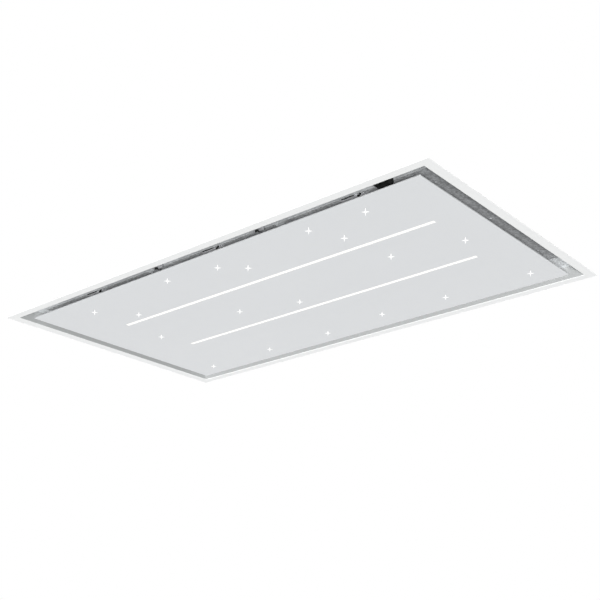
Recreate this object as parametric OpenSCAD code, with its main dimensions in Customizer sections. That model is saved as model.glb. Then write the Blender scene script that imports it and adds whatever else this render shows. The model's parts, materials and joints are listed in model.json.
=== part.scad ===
// Flush ceiling hood: a mitred frame, a hinged light panel with an air slot round it, three grease
// filters, and a sheet casing that carries the blower and the control box above the ceiling.
// z = 0 is the ceiling plane, the origin is the middle of the frame's opening, +X runs along the hood.

/* [Ceiling frame] */
// Outer length of the flange
flange_l = 1200; // [1180:5:1320]
// Outer width of the flange
flange_w = 690; // [680:5:760]
// Visible width of the flange
flange_b = 21; // [14:1:26]
// Thickness of the frame's sheet
frame_t = 1.5; // [1:0.25:2]
// Thickness of the gasket between the flange and the ceiling
gasket_t = 1; // [0.5:0.25:2]
// Height of the frame's wall above the ceiling plane
wall_h = 30; // [28:1:36]
// Diameter of the frame screws
frame_screw_d = 4; // [3:0.5:5]
// Height of the frame screws above the ceiling plane
frame_screw_z = 20; // [14:1:22]

/* [Casing] */
// Height of the casing above the ceiling plane
casing_h = 110; // [90:5:150]
// Thickness of the casing's sheet
casing_t = 1; // [0.75:0.25:1.5]
// Gap between the frame's wall and the casing
casing_gap = 0.5; // [0.25:0.25:1]
// Leg length of the angles in the casing's corners
corner_leg = 20; // [14:1:24]

/* [Panel] */
// Width of the air slot round the panel
slot_w = 25; // [18:1:30]
// Thickness of the panel's sheet
panel_t = 1.5; // [1:0.25:2]
// Thickness that the hem adds to the panel's edge
hem_t = 1.5; // [1:0.25:2]
// Width of the hem round the panel's edge
hem_w = 10; // [6:1:10]
// Width of a stiffener on the panel's back
stiffener_w = 14; // [10:1:16]
// Height of a stiffener
stiffener_h = 12; // [8:0.5:13]
// Thickness of a stiffener's sheet
stiffener_t = 1.2; // [1:0.2:2]

/* [Lights] */
// Mean distance between the near light strip's ends and the panel's ends
strip_end = 108; // [80:1:200]
// How much shorter the far light strip is
strip_less = 46; // [0:2:60]
// Visible width of a light strip
strip_w = 11; // [8:0.5:13]
// Offset of the strips' middle along the hood
strip_x = 26; // [0:1:30]
// Width of a light profile
profile_w = 20; // [18:0.5:22]
// Height of a light profile
profile_h = 10; // [8:0.5:12]
// Wall of a light profile
profile_t = 1.2; // [0.8:0.1:1.6]
// Overall length of a star along its long arms
star_long = 36; // [24:1:36]
// Overall width of a star along its short arms
star_short = 16; // [10:1:18]
// Turn of the stars' short arms from the hood's length
star_turn = 38.9; // [0:0.1:90]
// Diameter of the disc behind a star
star_disc_d = 36; // [34:0.5:36]

/* [Filters] */
// Width of the deck beside the outer filters
end_bar_w = 27.5; // [26:0.5:40]
// Width of the deck along the filters' near and far edges
rail_w = 60; // [56:1:80]
// Thickness of a grease filter
filter_h = 9; // [9:0.5:14]
// Width of the filter's folded border
filter_border = 28; // [24:1:32]
// Thickness of the filter's sheet
filter_t = 1; // [0.6:0.2:1.2]
// Gap round a filter
filter_gap = 1; // [0.8:0.1:1.5]
// Width of the deck's bar between two filters
bar_w = 18; // [16:1:20]
// Thickness of the deck's sheet
deck_t = 1.2; // [1:0.1:1.5]

/* [Filter latch] */
// Width of the latch's pull plate
latch_w = 56; // [44:2:70]
// Length of the latch's pull plate
latch_l = 26; // [22:1:27]
// Thickness of the latch's pull plate
latch_t = 2.2; // [1.8:0.2:3]
// Width of the latch's nose
nose_w = 16; // [12:1:24]
// Reach of the latch's nose over the deck
nose_reach = 4; // [3:0.25:4.5]

/* [Hinge] */
// Distance of a hinge from the panel's ends
hinge_in = 134; // [114:2:170]
// Distance of the hinge axis from the panel's far edge
hinge_inset = 13; // [12:0.5:15]
// Height of the hinge axis above the ceiling plane
hinge_z = 15; // [14.5:0.5:16]
// Diameter of the hinge pin
hinge_pin_d = 6; // [4:0.5:7]
// Radial clearance of the hinge pin
pin_clear = 0.05; // [0.02:0.01:0.1]

/* [Catches and receiver] */
// Distance of a catch from the hood's middle
catch_x = 148; // [100:1:170]
// Gap between the panel's hem and a catch's post
catch_inset = 1; // [0.5:0.5:5]
// Diameter of the catch's plunger
plunger_d = 8; // [6:0.5:9]
// Height of the catch's body
catch_h = 10; // [9.5:0.5:11]
// Length of the remote control's receiver
receiver_l = 35; // [28:1:50]
// Width of the remote control's receiver
receiver_w = 33; // [24:1:33]
// Height of the remote control's receiver
receiver_h = 16; // [10:1:18]
// Middle of the remote control's receiver along the hood
receiver_x = 461; // [380:1:500]

/* [Blower] */
// Length of the blower box
box_l = 420; // [390:5:480]
// Width of the blower box
box_w = 340; // [320:5:400]
// Height of the blower box
box_h = 200; // [200:2:240]
// Diameter of the impeller
impeller_d = 140; // [120:2:144]
// Width of the scroll housing
scroll_w = 230; // [200:5:260]
// Thickness of the scroll's wall
scroll_t = 2; // [1.5:0.25:2.5]
// Number of blades on the impeller
blade_count = 28; // [20:1:36]
// Outer diameter of the duct collar
collar_d = 149; // [120:1:149]
// Length of the duct collar
collar_l = 50; // [40:5:80]
// Wall of the duct collar
collar_t = 1; // [0.8:0.1:1.5]
// Diameter of the motor
motor_d = 84; // [60:2:96]
// Diameter of the impeller's shaft
shaft_d = 8; // [6:0.5:10]

/* [Control box] */
// Length of the control box
control_l = 200; // [180:5:230]
// Width of the control box
control_w = 150; // [140:5:200]
// Height of the control box
control_h = 56; // [52:1:80]
// Bore of the mains cable gland
gland_bore_d = 9; // [6:0.5:10]

/* [Hangers] */
// Distance of a hanger hole from the casing's walls
hanger_in = 51; // [45:1:90]
// Diameter of a hanger hole
hanger_hole_d = 9; // [7:0.5:11]
// Rise of a hanger bracket above the casing
hanger_rise = 30; // [20:1:50]

/* [Hidden] */
$fn = 64;

// How far a cut runs past the face that it goes through, and how deep one shape stands in the next
over = 1;
lap = 1;

// The frame, the casing and the panel in plan, as half sizes
open_x = flange_l / 2 - flange_b;
open_y = flange_w / 2 - flange_b;
wall_x = open_x + frame_t;
wall_y = open_y + frame_t;
casing_x = wall_x + casing_gap;
casing_y = wall_y + casing_gap;
casing_top_z = casing_h + casing_t;
flange_top = -gasket_t;
flange_low = flange_top - frame_t;
gasket_gap = 1;
gasket_edge = 4;
seam = 0.1;
panel_x = open_x - slot_w;
panel_y = open_y - slot_w;
panel_low = flange_low;
panel_top = panel_low + panel_t;

// The filters hang in a deck that stands on the frame's wall
deck_z = wall_h;
deck_top = deck_z + deck_t;
filter_count = 3;
bay_w = (2 * (casing_x - end_bar_w) - (filter_count - 1) * bar_w) / filter_count;
bay_y = casing_y - rail_w;
pitch = bay_w + bar_w;
filter_x = [-pitch, 0, pitch];
filter_w = bay_w - 2 * filter_gap;
filter_edge = bay_y - filter_gap;
mesh_tuck = 4;
mesh_t = 1;
mesh_columns = 8;
mesh_rows = 12;
mesh_rib = 8;
rivet_d = 5;
rivet_rise = 0.8;
rivet_edge = 6;
rivet_step = 205;
tongue_w = 30;
tongue_reach = 6;
tongue_x = 100;
tongue_t = 1.5;
tongue_clear = 0.3;

// The latch slides under the filter's near border, and its nose comes out over the deck
latch_clear = 0.1;
latch_travel = 6;
latch_top = deck_z - latch_clear;
latch_inset = 2;
latch_edge = filter_edge - latch_inset;
nose_clear = 0.5;
nose_low = deck_top + 2 * latch_clear;
nose_t = 0.8;
nose_high = nose_low + nose_reach + 2 * nose_clear + nose_t;
stem_l = 6;
stem_edge = latch_edge - filter_t;
finger_hole_d = 7;
finger_hole_x = -3;
finger_hole_in = 13;
finger_hole_floor = 0.4;
latch_hole_d = 3;
latch_hole_x = 20;
latch_hole_in = 5;

// The hinge
hinge_x = panel_x - hinge_in;
pivot_y = panel_y - hinge_inset;
ear_r = 8;
ear_t = 2.5;
knuckle_r = 7;
knuckle_w = 7;
ear_gap = 0.5;
bracket_base_t = 2;
bracket_half = 20;
bracket_in = 12;
bracket_out = 10;
arm_foot_l = 70;
arm_foot_w = 30;
arm_foot_t = 2;
arm_toe = 6;
pin_head_d = 9;
pin_head_t = 2;
pin_tail = 2;
ear_out = knuckle_w / 2 + ear_gap + ear_t;
stud_d = 4;
stud_x = 10;
stud_y = [21, 56];
web_side = knuckle_r * 0.7;
nut_d = 8;
nut_t = 3.2;
stud_over = 1.3;
hole_clear = 0.15;

// The catches hang from the deck, and the posts on the panel meet their plungers
post_l = 12;
post_w = 8;
catch_y = -(panel_y - hem_w - catch_inset - post_w / 2);
catch_low = deck_z - catch_h;
catch_l = 24;
catch_w = 15;
catch_lip = 1.2;
chamber_d = plunger_d + 3;
chamber_top = deck_z - catch_lip;
plunger_out = 6;
plunger_tip = 1.5;
plunger_collar_t = 2;
plunger_clear = 0.1;
post_gap = 0.3;
post_top = catch_low - plunger_out - post_gap;
receiver_r = 7;
receiver_edge = -(bay_y + filter_gap);

// The panel's lights, as seen from above
strip_y = [-121, 80];
strip_near_l = 2 * (panel_x - strip_end);
strip_l = [strip_near_l, strip_near_l - strip_less];

// A star's place along x and then y: a side, and the distance from that edge or, at side 0, the middle
star_places = [
    [-1, 73, 1, 47], [0, -273, 1, 53], [0, -81, 1, 51], [0, 99, 1, 70], [0, 274, 1, 63], [1, 62, 1, 61],
    [0, -1, 0, 37], [0, -418, 0, -7], [0, -149, 0, -8], [1, 82, 0, -5], [0, 309, 0, -37],
    [0, -346, 0, -151], [0, 289, 0, -175], [0, 39, 0, -189], [0, -414, -1, 69], [0, -10, -1, 66],
    [0, -145, -1, 47], [0, 255, -1, 50], [0, 392, -1, 55]
];
function from_edge(side, half, d) = side == 0 ? d : side * (half - d);
star_xy = [
    for (s = star_places) [from_edge(s[0], panel_x, s[1]), from_edge(s[2], panel_y, s[3])]
];
profile_over = 10;
lens_clear = 0.15;
diffuser_lip = 1.5;
led_board_t = 1.4;
led_board_w = 10;
star_root = [1.6, 3.6];
star_tip = [0.7, 1.6];
star_disc_t = 1.5;
star_board_d = 24;
star_board_t = 1.6;
star_plug = [8, 6, 4];
stiffener_x = [-210, 190];
end_stiffener_in = 24;
stiffener_end_in = 37;
stiffener_clear = 3;
driver_size = [220, 50, 16];
driver_xy = [-10, 142];
driver_ear = 12;

// The blower sits in its box on the casing
box_t = 1;
box_low = casing_top_z;
outlet_lip = 3;
box_high = box_low + box_h - box_t;
inlet_l = 340;
inlet_w = 250;
scroll_low = box_low + 3;
scroll_start = -30;
low_turn = 90 + scroll_start;
scroll_gap = 8;
scroll_growth = 26;
scroll_turn = 240;
scroll_step = 12;
impeller_r = impeller_d / 2;
scroll_y = -20;
scroll_z = scroll_low + impeller_r + scroll_gap + scroll_growth * low_turn / scroll_turn;
scroll_high = scroll_z + impeller_r + scroll_gap + scroll_growth;
tongue_z = scroll_z + (impeller_r + scroll_gap) * sin(scroll_start);
outlet_z = (scroll_high + tongue_z) / 2;
cage_gap = 10;
cage_half = scroll_w / 2 - cage_gap;
back_plate_t = 3;
hub_clear = 0.02;
cage_ring_w = 5;
cage_ring_t = 8;
blade_t = 1;
blade_w = 10;
hub_d = 24;
hub_half = 12;
inlet_r = impeller_r - blade_w;
ring_lip = 7;
ring_flange = 7;
ring_t = 2;
ring_in = inlet_r - 4;
ring_out = inlet_r - 0.2;
motor_l = 66;
motor_gap = 4;
motor_end = 4;
motor_near = hub_half + motor_gap;
motor_far = motor_near + motor_l;
neck_d = 30;
mount_d = 9;
mount_t = 3.5;
mount_ring = impeller_r + 3.5;
spider_t = 3;
spider_w = 14;
spider_hub_d = 48;
block_l = 120;
block_w = 30;
collar_flange = 3;
flange_t = 1.5;
collar_in = collar_d / 2 - collar_t;
flap_y = 20;
flap_pin_d = 3;
flap_pin_in = 0.3;
flap_knuckle_in = 20;
flap_r = collar_in - 1.2;
flap_t = 1;
flap_barrel_d = 6;
flap_gap = 0.4;
flap_knuckles = 4;

// The control box stands beside the blower
control_x = box_l / 2 + 30;
control_t = 1.2;
control_in_y = -20;
lid_t = 1.2;
lid_lip = 8;
lid_fit = 0.3;
lid_screw_in = 25;
board_inset = 10;
board_l = 110;
board_rise = 8;
board_t = 1.6;
standoff_d = 6;
chip_xyz = [[22, 30, 16], [60, 44, 22], [92, 24, 12]];
chip_size = [18, 26];
capacitor_d = 32;
capacitor_l = 70;
capacitor_gap = 4;
terminal_l = 36;
terminal_w = 22;
terminal_h = 18;
terminal_ways = 3;
terminal_gap = 8;
terminal_hole_l = 6;
terminal_hole_d = 7;
gland_thread_d = 16;
gland_hex_d = 22;
gland_hex_t = 5;
gland_nut_t = 4;
gland_in = control_t + gland_nut_t + 3;
gland_cap_d = 19;
gland_cap_l = 12;
gland_z = 28;
gland_y = 40;
control_screw_d = 3;
control_head_d = 6;
control_head_t = 2;
control_screw_over = 3;

// The hangers
hanger_dx = 2 * (casing_x - hanger_in);
hanger_dy = 2 * (casing_y - hanger_in);
hanger_t = 2;
hanger_w = 30;
hanger_edge = 15;
hanger_foot = 40;

// Screws through the frame's walls
frame_screw_x = [-450, -150, 150, 450];
frame_screw_y = [-180, 180];
frame_head_t = 2;
frame_screw_over = 3;

steel = [0.78, 0.79, 0.80];
zinc = [0.66, 0.68, 0.70];
white = [0.91, 0.92, 0.92];
panel_white = [0.85, 0.86, 0.87];
dark = [0.09, 0.09, 0.09];
copper_green = [0.12, 0.36, 0.20];
lit = [1, 0.99, 0.95];

// A box between two limits along each axis
module span(x, y, z) {
    translate([x[0], y[0], z[0]]) cube([x[1] - x[0], y[1] - y[0], z[1] - z[0]]);
}

// A box from minus to plus a half size in plan
module centred(x, y, z) {
    span([-x, x], [-y, y], z);
}

// An outline of (y, z) points made w wide about x = 0
module across_x(w) {
    rotate([90, 0, 90]) linear_extrude(w, center = true) children();
}

// A cylinder from one x to another, on a line at y and z
module rod_x(x, y, z, d) {
    translate([x[0], y, z]) rotate([0, 90, 0]) cylinder(h = x[1] - x[0], d = d);
}

// A cylinder from one y to another, on a line at x and z
module rod_y(x, y, z, d) {
    translate([x, y[0], z]) rotate([-90, 0, 0]) cylinder(h = y[1] - y[0], d = d);
}

module twice(v) {
    children();
    mirror(v) children();
}

// Screws and their holes stand at the same places on the frame's four walls
module at_frame_screws() {
    for (x = frame_screw_x) twice([0, 1, 0])
        translate([x, open_y, frame_screw_z]) rotate([-90, 0, 0]) children();
    for (y = frame_screw_y) twice([1, 0, 0])
        translate([open_x, y, frame_screw_z]) rotate([0, 90, 0]) children();
}

module frame_screw_holes() {
    depth = frame_t + casing_gap + casing_t + 2 * over;
    at_frame_screws() translate([0, 0, -over]) cylinder(h = depth, d = frame_screw_d + 2 * hole_clear);
}

// Thin gaps across the four corners of a ring, where its sides are mitred
module mitres(x, y, w, z) twice([1, 0, 0]) twice([0, 1, 0])
    translate([x, y, 0]) rotate(45) span([-2 * w, over], [-seam / 2, seam / 2], z);

module frame_flanges() color(white) difference() {
    through = [flange_low - over, flange_top + over];
    centred(flange_l / 2, flange_w / 2, [flange_low, flange_top]);
    centred(open_x, open_y, through);
    mitres(flange_l / 2, flange_w / 2, flange_b, through);
}

module frame_walls() color(white) difference() {
    through = [flange_top - over, wall_h + over];
    centred(wall_x, wall_y, [flange_top, wall_h]);
    centred(open_x, open_y, through);
    mitres(wall_x, wall_y, frame_t, through);
    frame_screw_holes();
}

module ceiling_gasket() color(dark) difference() {
    in = casing_t + gasket_gap;
    centred(flange_l / 2 - gasket_edge, flange_w / 2 - gasket_edge, [flange_top, 0]);
    centred(casing_x + in, casing_y + in, [flange_top - over, over]);
}

module frame_screws() color(steel) at_frame_screws() union() {
    translate([0, 0, -frame_head_t]) cylinder(h = frame_head_t, d = 2 * frame_screw_d);
    cylinder(h = frame_t + casing_gap + casing_t + frame_screw_over, d = frame_screw_d);
}

module casing_sides() color(zinc) difference() {
    out_x = casing_x + casing_t;
    twice([0, 1, 0]) span([-out_x, out_x], [casing_y, casing_y + casing_t], [flange_top, casing_h]);
    frame_screw_holes();
}

module casing_ends() color(zinc) difference() {
    twice([1, 0, 0]) span([casing_x, casing_x + casing_t], [-casing_y, casing_y], [flange_top, casing_h]);
    frame_screw_holes();
}

module casing_corners() color(zinc) twice([1, 0, 0]) twice([0, 1, 0]) difference() {
    span([casing_x - corner_leg, casing_x], [casing_y - corner_leg, casing_y], [deck_top, casing_h]);
    span(
        [casing_x - corner_leg - over, casing_x - casing_t],
        [casing_y - corner_leg - over, casing_y - casing_t],
        [deck_top - over, casing_h + over]
    );
}

module casing_top() color(zinc) difference() {
    centred(casing_x + casing_t, casing_y + casing_t, [casing_h, casing_top_z]);
    centred(inlet_l / 2, inlet_w / 2, [casing_h - over, casing_top_z + over]);
}

module deck_rails() color(zinc) twice([0, 1, 0])
    span([-casing_x, casing_x], [bay_y, casing_y], [deck_z, deck_top]);

module deck_crossbars() color(zinc) twice([1, 0, 0]) {
    span([bay_w / 2, bay_w / 2 + bar_w], [-bay_y, bay_y], [deck_z, deck_top]);
    span([pitch + bay_w / 2, casing_x], [-bay_y, bay_y], [deck_z, deck_top]);
}

// Two ears under a base plate, with the pivot's bore
module hinge_bracket() difference() {
    union() {
        span(
            [-bracket_half, bracket_half],
            [pivot_y - bracket_in, pivot_y + bracket_out],
            [deck_z - bracket_base_t, deck_z]
        );
        twice([1, 0, 0]) {
            rod_x([ear_out - ear_t, ear_out], pivot_y, hinge_z, 2 * ear_r);
            span([ear_out - ear_t, ear_out], [pivot_y - ear_r, pivot_y + ear_r], [hinge_z, deck_z - lap]);
        }
    }
    rod_x([-ear_out - over, ear_out + over], pivot_y, hinge_z, hinge_pin_d + 2 * pin_clear);
}

module hinge_brackets() color(zinc) twice([1, 0, 0]) translate([hinge_x, 0, 0]) hinge_bracket();

module hinge_pins() color(steel) twice([1, 0, 0]) translate([hinge_x, 0, 0]) union() {
    rod_x([-ear_out - pin_tail, ear_out], pivot_y, hinge_z, hinge_pin_d);
    rod_x([ear_out, ear_out + pin_head_t], pivot_y, hinge_z, pin_head_d);
}

module arm_studs(d, low, high) twice([1, 0, 0])
    for (x = [-stud_x, stud_x]) for (y = stud_y)
        translate([hinge_x + x, pivot_y - arm_toe - y, low]) cylinder(h = high - low, d = d);

module driver_studs(d, low, high) {
    for (side = [-1, 1])
        translate([driver_xy[0] + side * (driver_size[0] + driver_ear) / 2, driver_xy[1], low])
            cylinder(h = high - low, d = d);
}

module hinge_arms() color(zinc) difference() {
    foot_top = panel_top + arm_foot_t;
    heel = pivot_y - arm_toe;
    twice([1, 0, 0]) translate([hinge_x, 0, 0]) union() {
        span([-arm_foot_w / 2, arm_foot_w / 2], [heel - arm_foot_l, heel], [panel_top, foot_top]);
        rod_x([-knuckle_w / 2, knuckle_w / 2], pivot_y, hinge_z, 2 * knuckle_r);
        across_x(knuckle_w) polygon([
            [heel - arm_foot_l, panel_top], [heel, panel_top],
            [pivot_y + web_side, hinge_z - web_side], [pivot_y, hinge_z + knuckle_r],
            [pivot_y - 2 * knuckle_r, foot_top + knuckle_r], [heel - arm_foot_l, foot_top]
        ]);
    }
    rod_x([-hinge_x - knuckle_w, hinge_x + knuckle_w], pivot_y, hinge_z, hinge_pin_d + 2 * pin_clear);
    arm_studs(stud_d + 2 * hole_clear, panel_top - over, foot_top + over);
}

module panel_fasteners() color(steel) {
    seat = panel_top + arm_foot_t;
    arm_studs(nut_d, seat, seat + nut_t);
    arm_studs(stud_d, panel_top, seat + nut_t + stud_over);
    driver_studs(nut_d, seat, seat + nut_t);
    driver_studs(stud_d, panel_top, seat + nut_t + stud_over);
}

module catch_bodies() color(dark) twice([1, 0, 0]) translate([catch_x, catch_y, 0]) difference() {
    centred(catch_l / 2, catch_w / 2, [catch_low, deck_z]);
    translate([0, 0, catch_low - over]) cylinder(h = catch_lip + 2 * over, d = plunger_d + 2 * plunger_clear);
    translate([0, 0, catch_low + catch_lip]) cylinder(h = chamber_top - catch_low - catch_lip, d = chamber_d);
}

module catch_plunger() translate([0, catch_y, 0]) {
    low = catch_low - plunger_out;
    collar_low = catch_low + catch_lip + plunger_clear;
    translate([0, 0, low]) cylinder(h = plunger_tip, d1 = plunger_d - 2 * plunger_tip, d2 = plunger_d);
    translate([0, 0, low + plunger_tip]) cylinder(h = collar_low - low - plunger_tip, d = plunger_d);
    translate([0, 0, collar_low]) cylinder(h = plunger_collar_t, d = chamber_d - 4 * plunger_clear);
}

module catch_plunger_left() color(dark) translate([-catch_x, 0, 0]) catch_plunger();

module catch_plunger_right() color(dark) translate([catch_x, 0, 0]) catch_plunger();

module strike_posts() color(zinc) twice([1, 0, 0]) translate([catch_x, catch_y, 0])
    centred(post_l / 2, post_w / 2, [panel_top, post_top]);

// A block with two round corners at its +X end
module remote_receiver() color(dark) translate([receiver_x, receiver_edge, deck_z - receiver_h])
    linear_extrude(receiver_h) {
        translate([-receiver_l / 2, -receiver_w]) square([receiver_l - receiver_r, receiver_w]);
        translate([-receiver_l / 2, receiver_r - receiver_w])
            square([receiver_l, receiver_w - 2 * receiver_r]);
        for (y = [-receiver_r, receiver_r - receiver_w])
            translate([receiver_l / 2 - receiver_r, y]) circle(r = receiver_r);
    }

// A foot on the casing, a web, and a tab that the hanger bolt passes through
module hanger_bracket() difference() {
    side = [-hanger_w / 2, hanger_w / 2];
    tab_top = hanger_rise + hanger_t;
    union() {
        span([-hanger_edge, hanger_edge], side, [hanger_rise, tab_top]);
        span([-hanger_edge, hanger_t - hanger_edge], side, [0, tab_top]);
        span([-hanger_edge - hanger_foot, -hanger_edge], side, [0, hanger_t]);
    }
    translate([0, 0, hanger_rise - over]) cylinder(h = hanger_t + 2 * over, d = hanger_hole_d);
}

module hanger_brackets() color(zinc) twice([1, 0, 0]) twice([0, 1, 0])
    translate([hanger_dx / 2, hanger_dy / 2, casing_top_z]) hanger_bracket();

module blower_box_sides() color(zinc) difference() {
    twice([0, 1, 0]) span([-box_l / 2, box_l / 2], [box_w / 2 - box_t, box_w / 2], [box_low, box_high]);
    rod_y(0, [box_w / 2 - box_t - over, box_w / 2 + over], outlet_z, 2 * (collar_in - outlet_lip));
}

module blower_box_ends() color(zinc) twice([1, 0, 0])
    span([box_l / 2 - box_t, box_l / 2], [box_t - box_w / 2, box_w / 2 - box_t], [box_low, box_high]);

module blower_box_top() color(zinc) centred(box_l / 2, box_w / 2, [box_high, box_high + box_t]);

// Radius of the scroll at an angle turned from the tongue, and the points along it
function scroll_r(turn) = impeller_r + scroll_gap + scroll_growth * turn / scroll_turn;
function scroll_points(inset) = [
    for (turn = [0:scroll_step:scroll_turn])
        [
            scroll_y + (scroll_r(turn) - inset) * cos(scroll_start - turn),
            scroll_z + (scroll_r(turn) - inset) * sin(scroll_start - turn)
        ]
];

module scroll_outline(inset, reach) polygon(concat(
    [[reach, tongue_z + inset]],
    scroll_points(inset),
    [[reach, scroll_high - inset]]
));

module scroll_housing() color(steel) difference() {
    mouth = box_w / 2 - box_t;
    across_x(scroll_w) scroll_outline(0, mouth);
    across_x(scroll_w - 2 * scroll_t) scroll_outline(scroll_t, mouth + over);
    rod_x([-scroll_w, scroll_w], scroll_y, scroll_z, 2 * inlet_r);
}

// Bell mouths that stand in the scroll's two inlets
module inlet_ring() rotate_extrude() polygon([
    [ring_in, -ring_lip], [ring_out, -ring_lip], [ring_out, 0], [inlet_r + ring_flange, 0],
    [inlet_r + ring_flange, ring_t], [inlet_r, ring_t], [ring_in, -ring_t]
]);

module inlet_rings() color(zinc) twice([1, 0, 0])
    translate([scroll_w / 2, scroll_y, scroll_z]) rotate([0, 90, 0]) inlet_ring();

module blower_blocks() color(dark) twice([1, 0, 0])
    span([scroll_w / 2 - block_w, scroll_w / 2], [0, block_l], [scroll_high, box_high]);

module impeller() color(dark) translate([0, scroll_y, scroll_z]) difference() {
    blade_x = [lap - cage_half, cage_half - lap];
    union() {
        rod_x([-back_plate_t / 2, back_plate_t / 2], 0, 0, impeller_d);
        rod_x([-hub_half, hub_half], 0, 0, hub_d);
        twice([1, 0, 0]) difference() {
            rod_x([cage_half - cage_ring_w, cage_half], 0, 0, impeller_d);
            rod_x([cage_half - cage_ring_w - over, cage_half + over], 0, 0, impeller_d - 2 * cage_ring_t);
        }
        for (i = [0:blade_count - 1]) rotate([i * 360 / blade_count, 0, 0])
            span(blade_x, [impeller_r - blade_w, impeller_r - lap], [-blade_t / 2, blade_t / 2]);
    }
    rod_x([-hub_half - over, hub_half + over], 0, 0, shaft_d + 2 * hub_clear);
}

module impeller_shaft() color(steel)
    rod_x([-hub_half - motor_gap, motor_far - motor_end - 2], scroll_y, scroll_z, shaft_d);

module blower_motor() color(steel) difference() {
    union() {
        rod_x([motor_near, motor_far], scroll_y, scroll_z, motor_d);
        rod_x([motor_far, scroll_w / 2 + mount_t], scroll_y, scroll_z, neck_d);
    }
    rod_x([motor_near - over, motor_far - motor_end], scroll_y, scroll_z, shaft_d + 2 * pin_clear);
}

module at_motor_mounts() {
    for (turn = [90, 210, 330]) translate([scroll_w / 2, scroll_y, scroll_z]) rotate([turn, 0, 0]) children();
}

module motor_mounts() color(dark) at_motor_mounts() rod_x([0, mount_t], mount_ring, 0, mount_d);

module motor_bracket() color(zinc) union() {
    rod_x([scroll_w / 2 + mount_t, scroll_w / 2 + mount_t + spider_t], scroll_y, scroll_z, spider_hub_d);
    at_motor_mounts()
        span([mount_t, mount_t + spider_t], [0, mount_ring + mount_d / 2], [-spider_w / 2, spider_w / 2]);
}

module outlet_collar() color(zinc) translate([0, box_w / 2, outlet_z]) difference() {
    union() {
        rod_y(0, [0, flange_t], 0, collar_d + 2 * collar_flange);
        rod_y(0, [0, collar_l], 0, collar_d);
    }
    rod_y(0, [-over, collar_l + over], 0, 2 * collar_in);
    translate([0, flap_y, -collar_d / 2 - over])
        cylinder(h = collar_d + 2 * over, d = flap_pin_d + 2 * pin_clear);
}

module flap_pin() color(steel) translate([0, box_w / 2 + flap_y, outlet_z - collar_d / 2 + flap_pin_in])
    cylinder(h = collar_d - 2 * flap_pin_in, d = flap_pin_d);

// Half a disc beside the pin, held by barrels that take turns with the other flap's
module flap(first) translate([0, box_w / 2 + flap_y, outlet_z]) difference() {
    barrel_h = 2 * (flap_r - flap_knuckle_in) / flap_knuckles;
    union() {
        intersection() {
            rod_y(0, [-flap_t / 2, flap_t / 2], 0, 2 * flap_r);
            span([flap_barrel_d / 2 + flap_gap, flap_r], [-flap_t, flap_t], [-flap_r, flap_r]);
        }
        for (i = [first:2:flap_knuckles - 1])
            translate([0, 0, flap_knuckle_in - flap_r + i * barrel_h + flap_gap / 2]) {
                cylinder(h = barrel_h - flap_gap, d = flap_barrel_d);
                span([0, flap_barrel_d], [-flap_t / 2, flap_t / 2], [0, barrel_h - flap_gap]);
            }
    }
    translate([0, 0, -flap_r]) cylinder(h = 2 * flap_r, d = flap_pin_d + 2 * pin_clear);
}

module flap_right() color(dark) flap(0);

module flap_left() color(dark) mirror([1, 0, 0]) flap(1);

module control_box() color(zinc) difference() {
    span(
        [control_x, control_x + control_l],
        [control_in_y - control_w / 2, control_in_y + control_w / 2],
        [casing_top_z, casing_top_z + control_h]
    );
    span(
        [control_x + control_t, control_x + control_l - control_t],
        [control_in_y - control_w / 2 + control_t, control_in_y + control_w / 2 - control_t],
        [casing_top_z + control_t, casing_top_z + control_h + over]
    );
    rod_x(
        [control_x + control_l - control_t - over, control_x + control_l + over],
        control_in_y + gland_y, casing_top_z + gland_z, gland_thread_d + 2 * hole_clear
    );
    at_control_screws() rod_y(0, [-control_t - over, over], 0, control_screw_d + 2 * hole_clear);
}

// The lid's screws stand in its lips on the box's two long walls
module at_control_screws() {
    for (x = [control_x + lid_screw_in, control_x + control_l - lid_screw_in])
        translate([x, control_in_y, casing_top_z + control_h - lid_lip / 2]) twice([0, 1, 0])
            translate([0, control_w / 2, 0]) children();
}

module control_box_lid() color(zinc) difference() {
    low = casing_top_z + control_h;
    out = lid_fit + lid_t;
    span(
        [control_x, control_x + control_l],
        [control_in_y - control_w / 2 - out, control_in_y + control_w / 2 + out],
        [low - lid_lip, low + lid_t]
    );
    span(
        [control_x - over, control_x + control_l + over],
        [control_in_y - control_w / 2 - lid_fit, control_in_y + control_w / 2 + lid_fit],
        [low - lid_lip - over, low]
    );
    at_control_screws() rod_y(0, [-over, out + over], 0, control_screw_d + 2 * hole_clear);
}

module control_box_screws() color(steel) at_control_screws() union() {
    out = lid_fit + lid_t;
    rod_y(0, [out, out + control_head_t], 0, control_head_d);
    rod_y(0, [-control_t - control_screw_over, out], 0, control_screw_d);
}

module control_board() color(copper_green) {
    x = control_x + board_inset;
    y = control_in_y - control_w / 2 + board_inset;
    depth = control_w - 2 * board_inset - capacitor_d - 2 * capacitor_gap;
    low = casing_top_z + control_t;
    translate([x, y, low]) union() {
        span([0, board_l], [0, depth], [board_rise, board_rise + board_t]);
        for (foot_x = [standoff_d, board_l - standoff_d]) for (foot_y = [standoff_d, depth - standoff_d])
            translate([foot_x, foot_y, 0]) cylinder(h = board_rise, d = standoff_d);
        for (chip = chip_xyz)
            translate([chip[0] - chip_size[0] / 2, chip[1] - chip_size[1] / 2, board_rise])
                cube([chip_size[0], chip_size[1], board_t + chip[2]]);
    }
}

module motor_capacitor() color(white)
    rod_x(
        [control_x + board_inset, control_x + board_inset + capacitor_l],
        control_in_y + control_w / 2 - control_t - capacitor_d / 2 - capacitor_gap,
        casing_top_z + control_t + capacitor_d / 2, capacitor_d
    );

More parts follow.
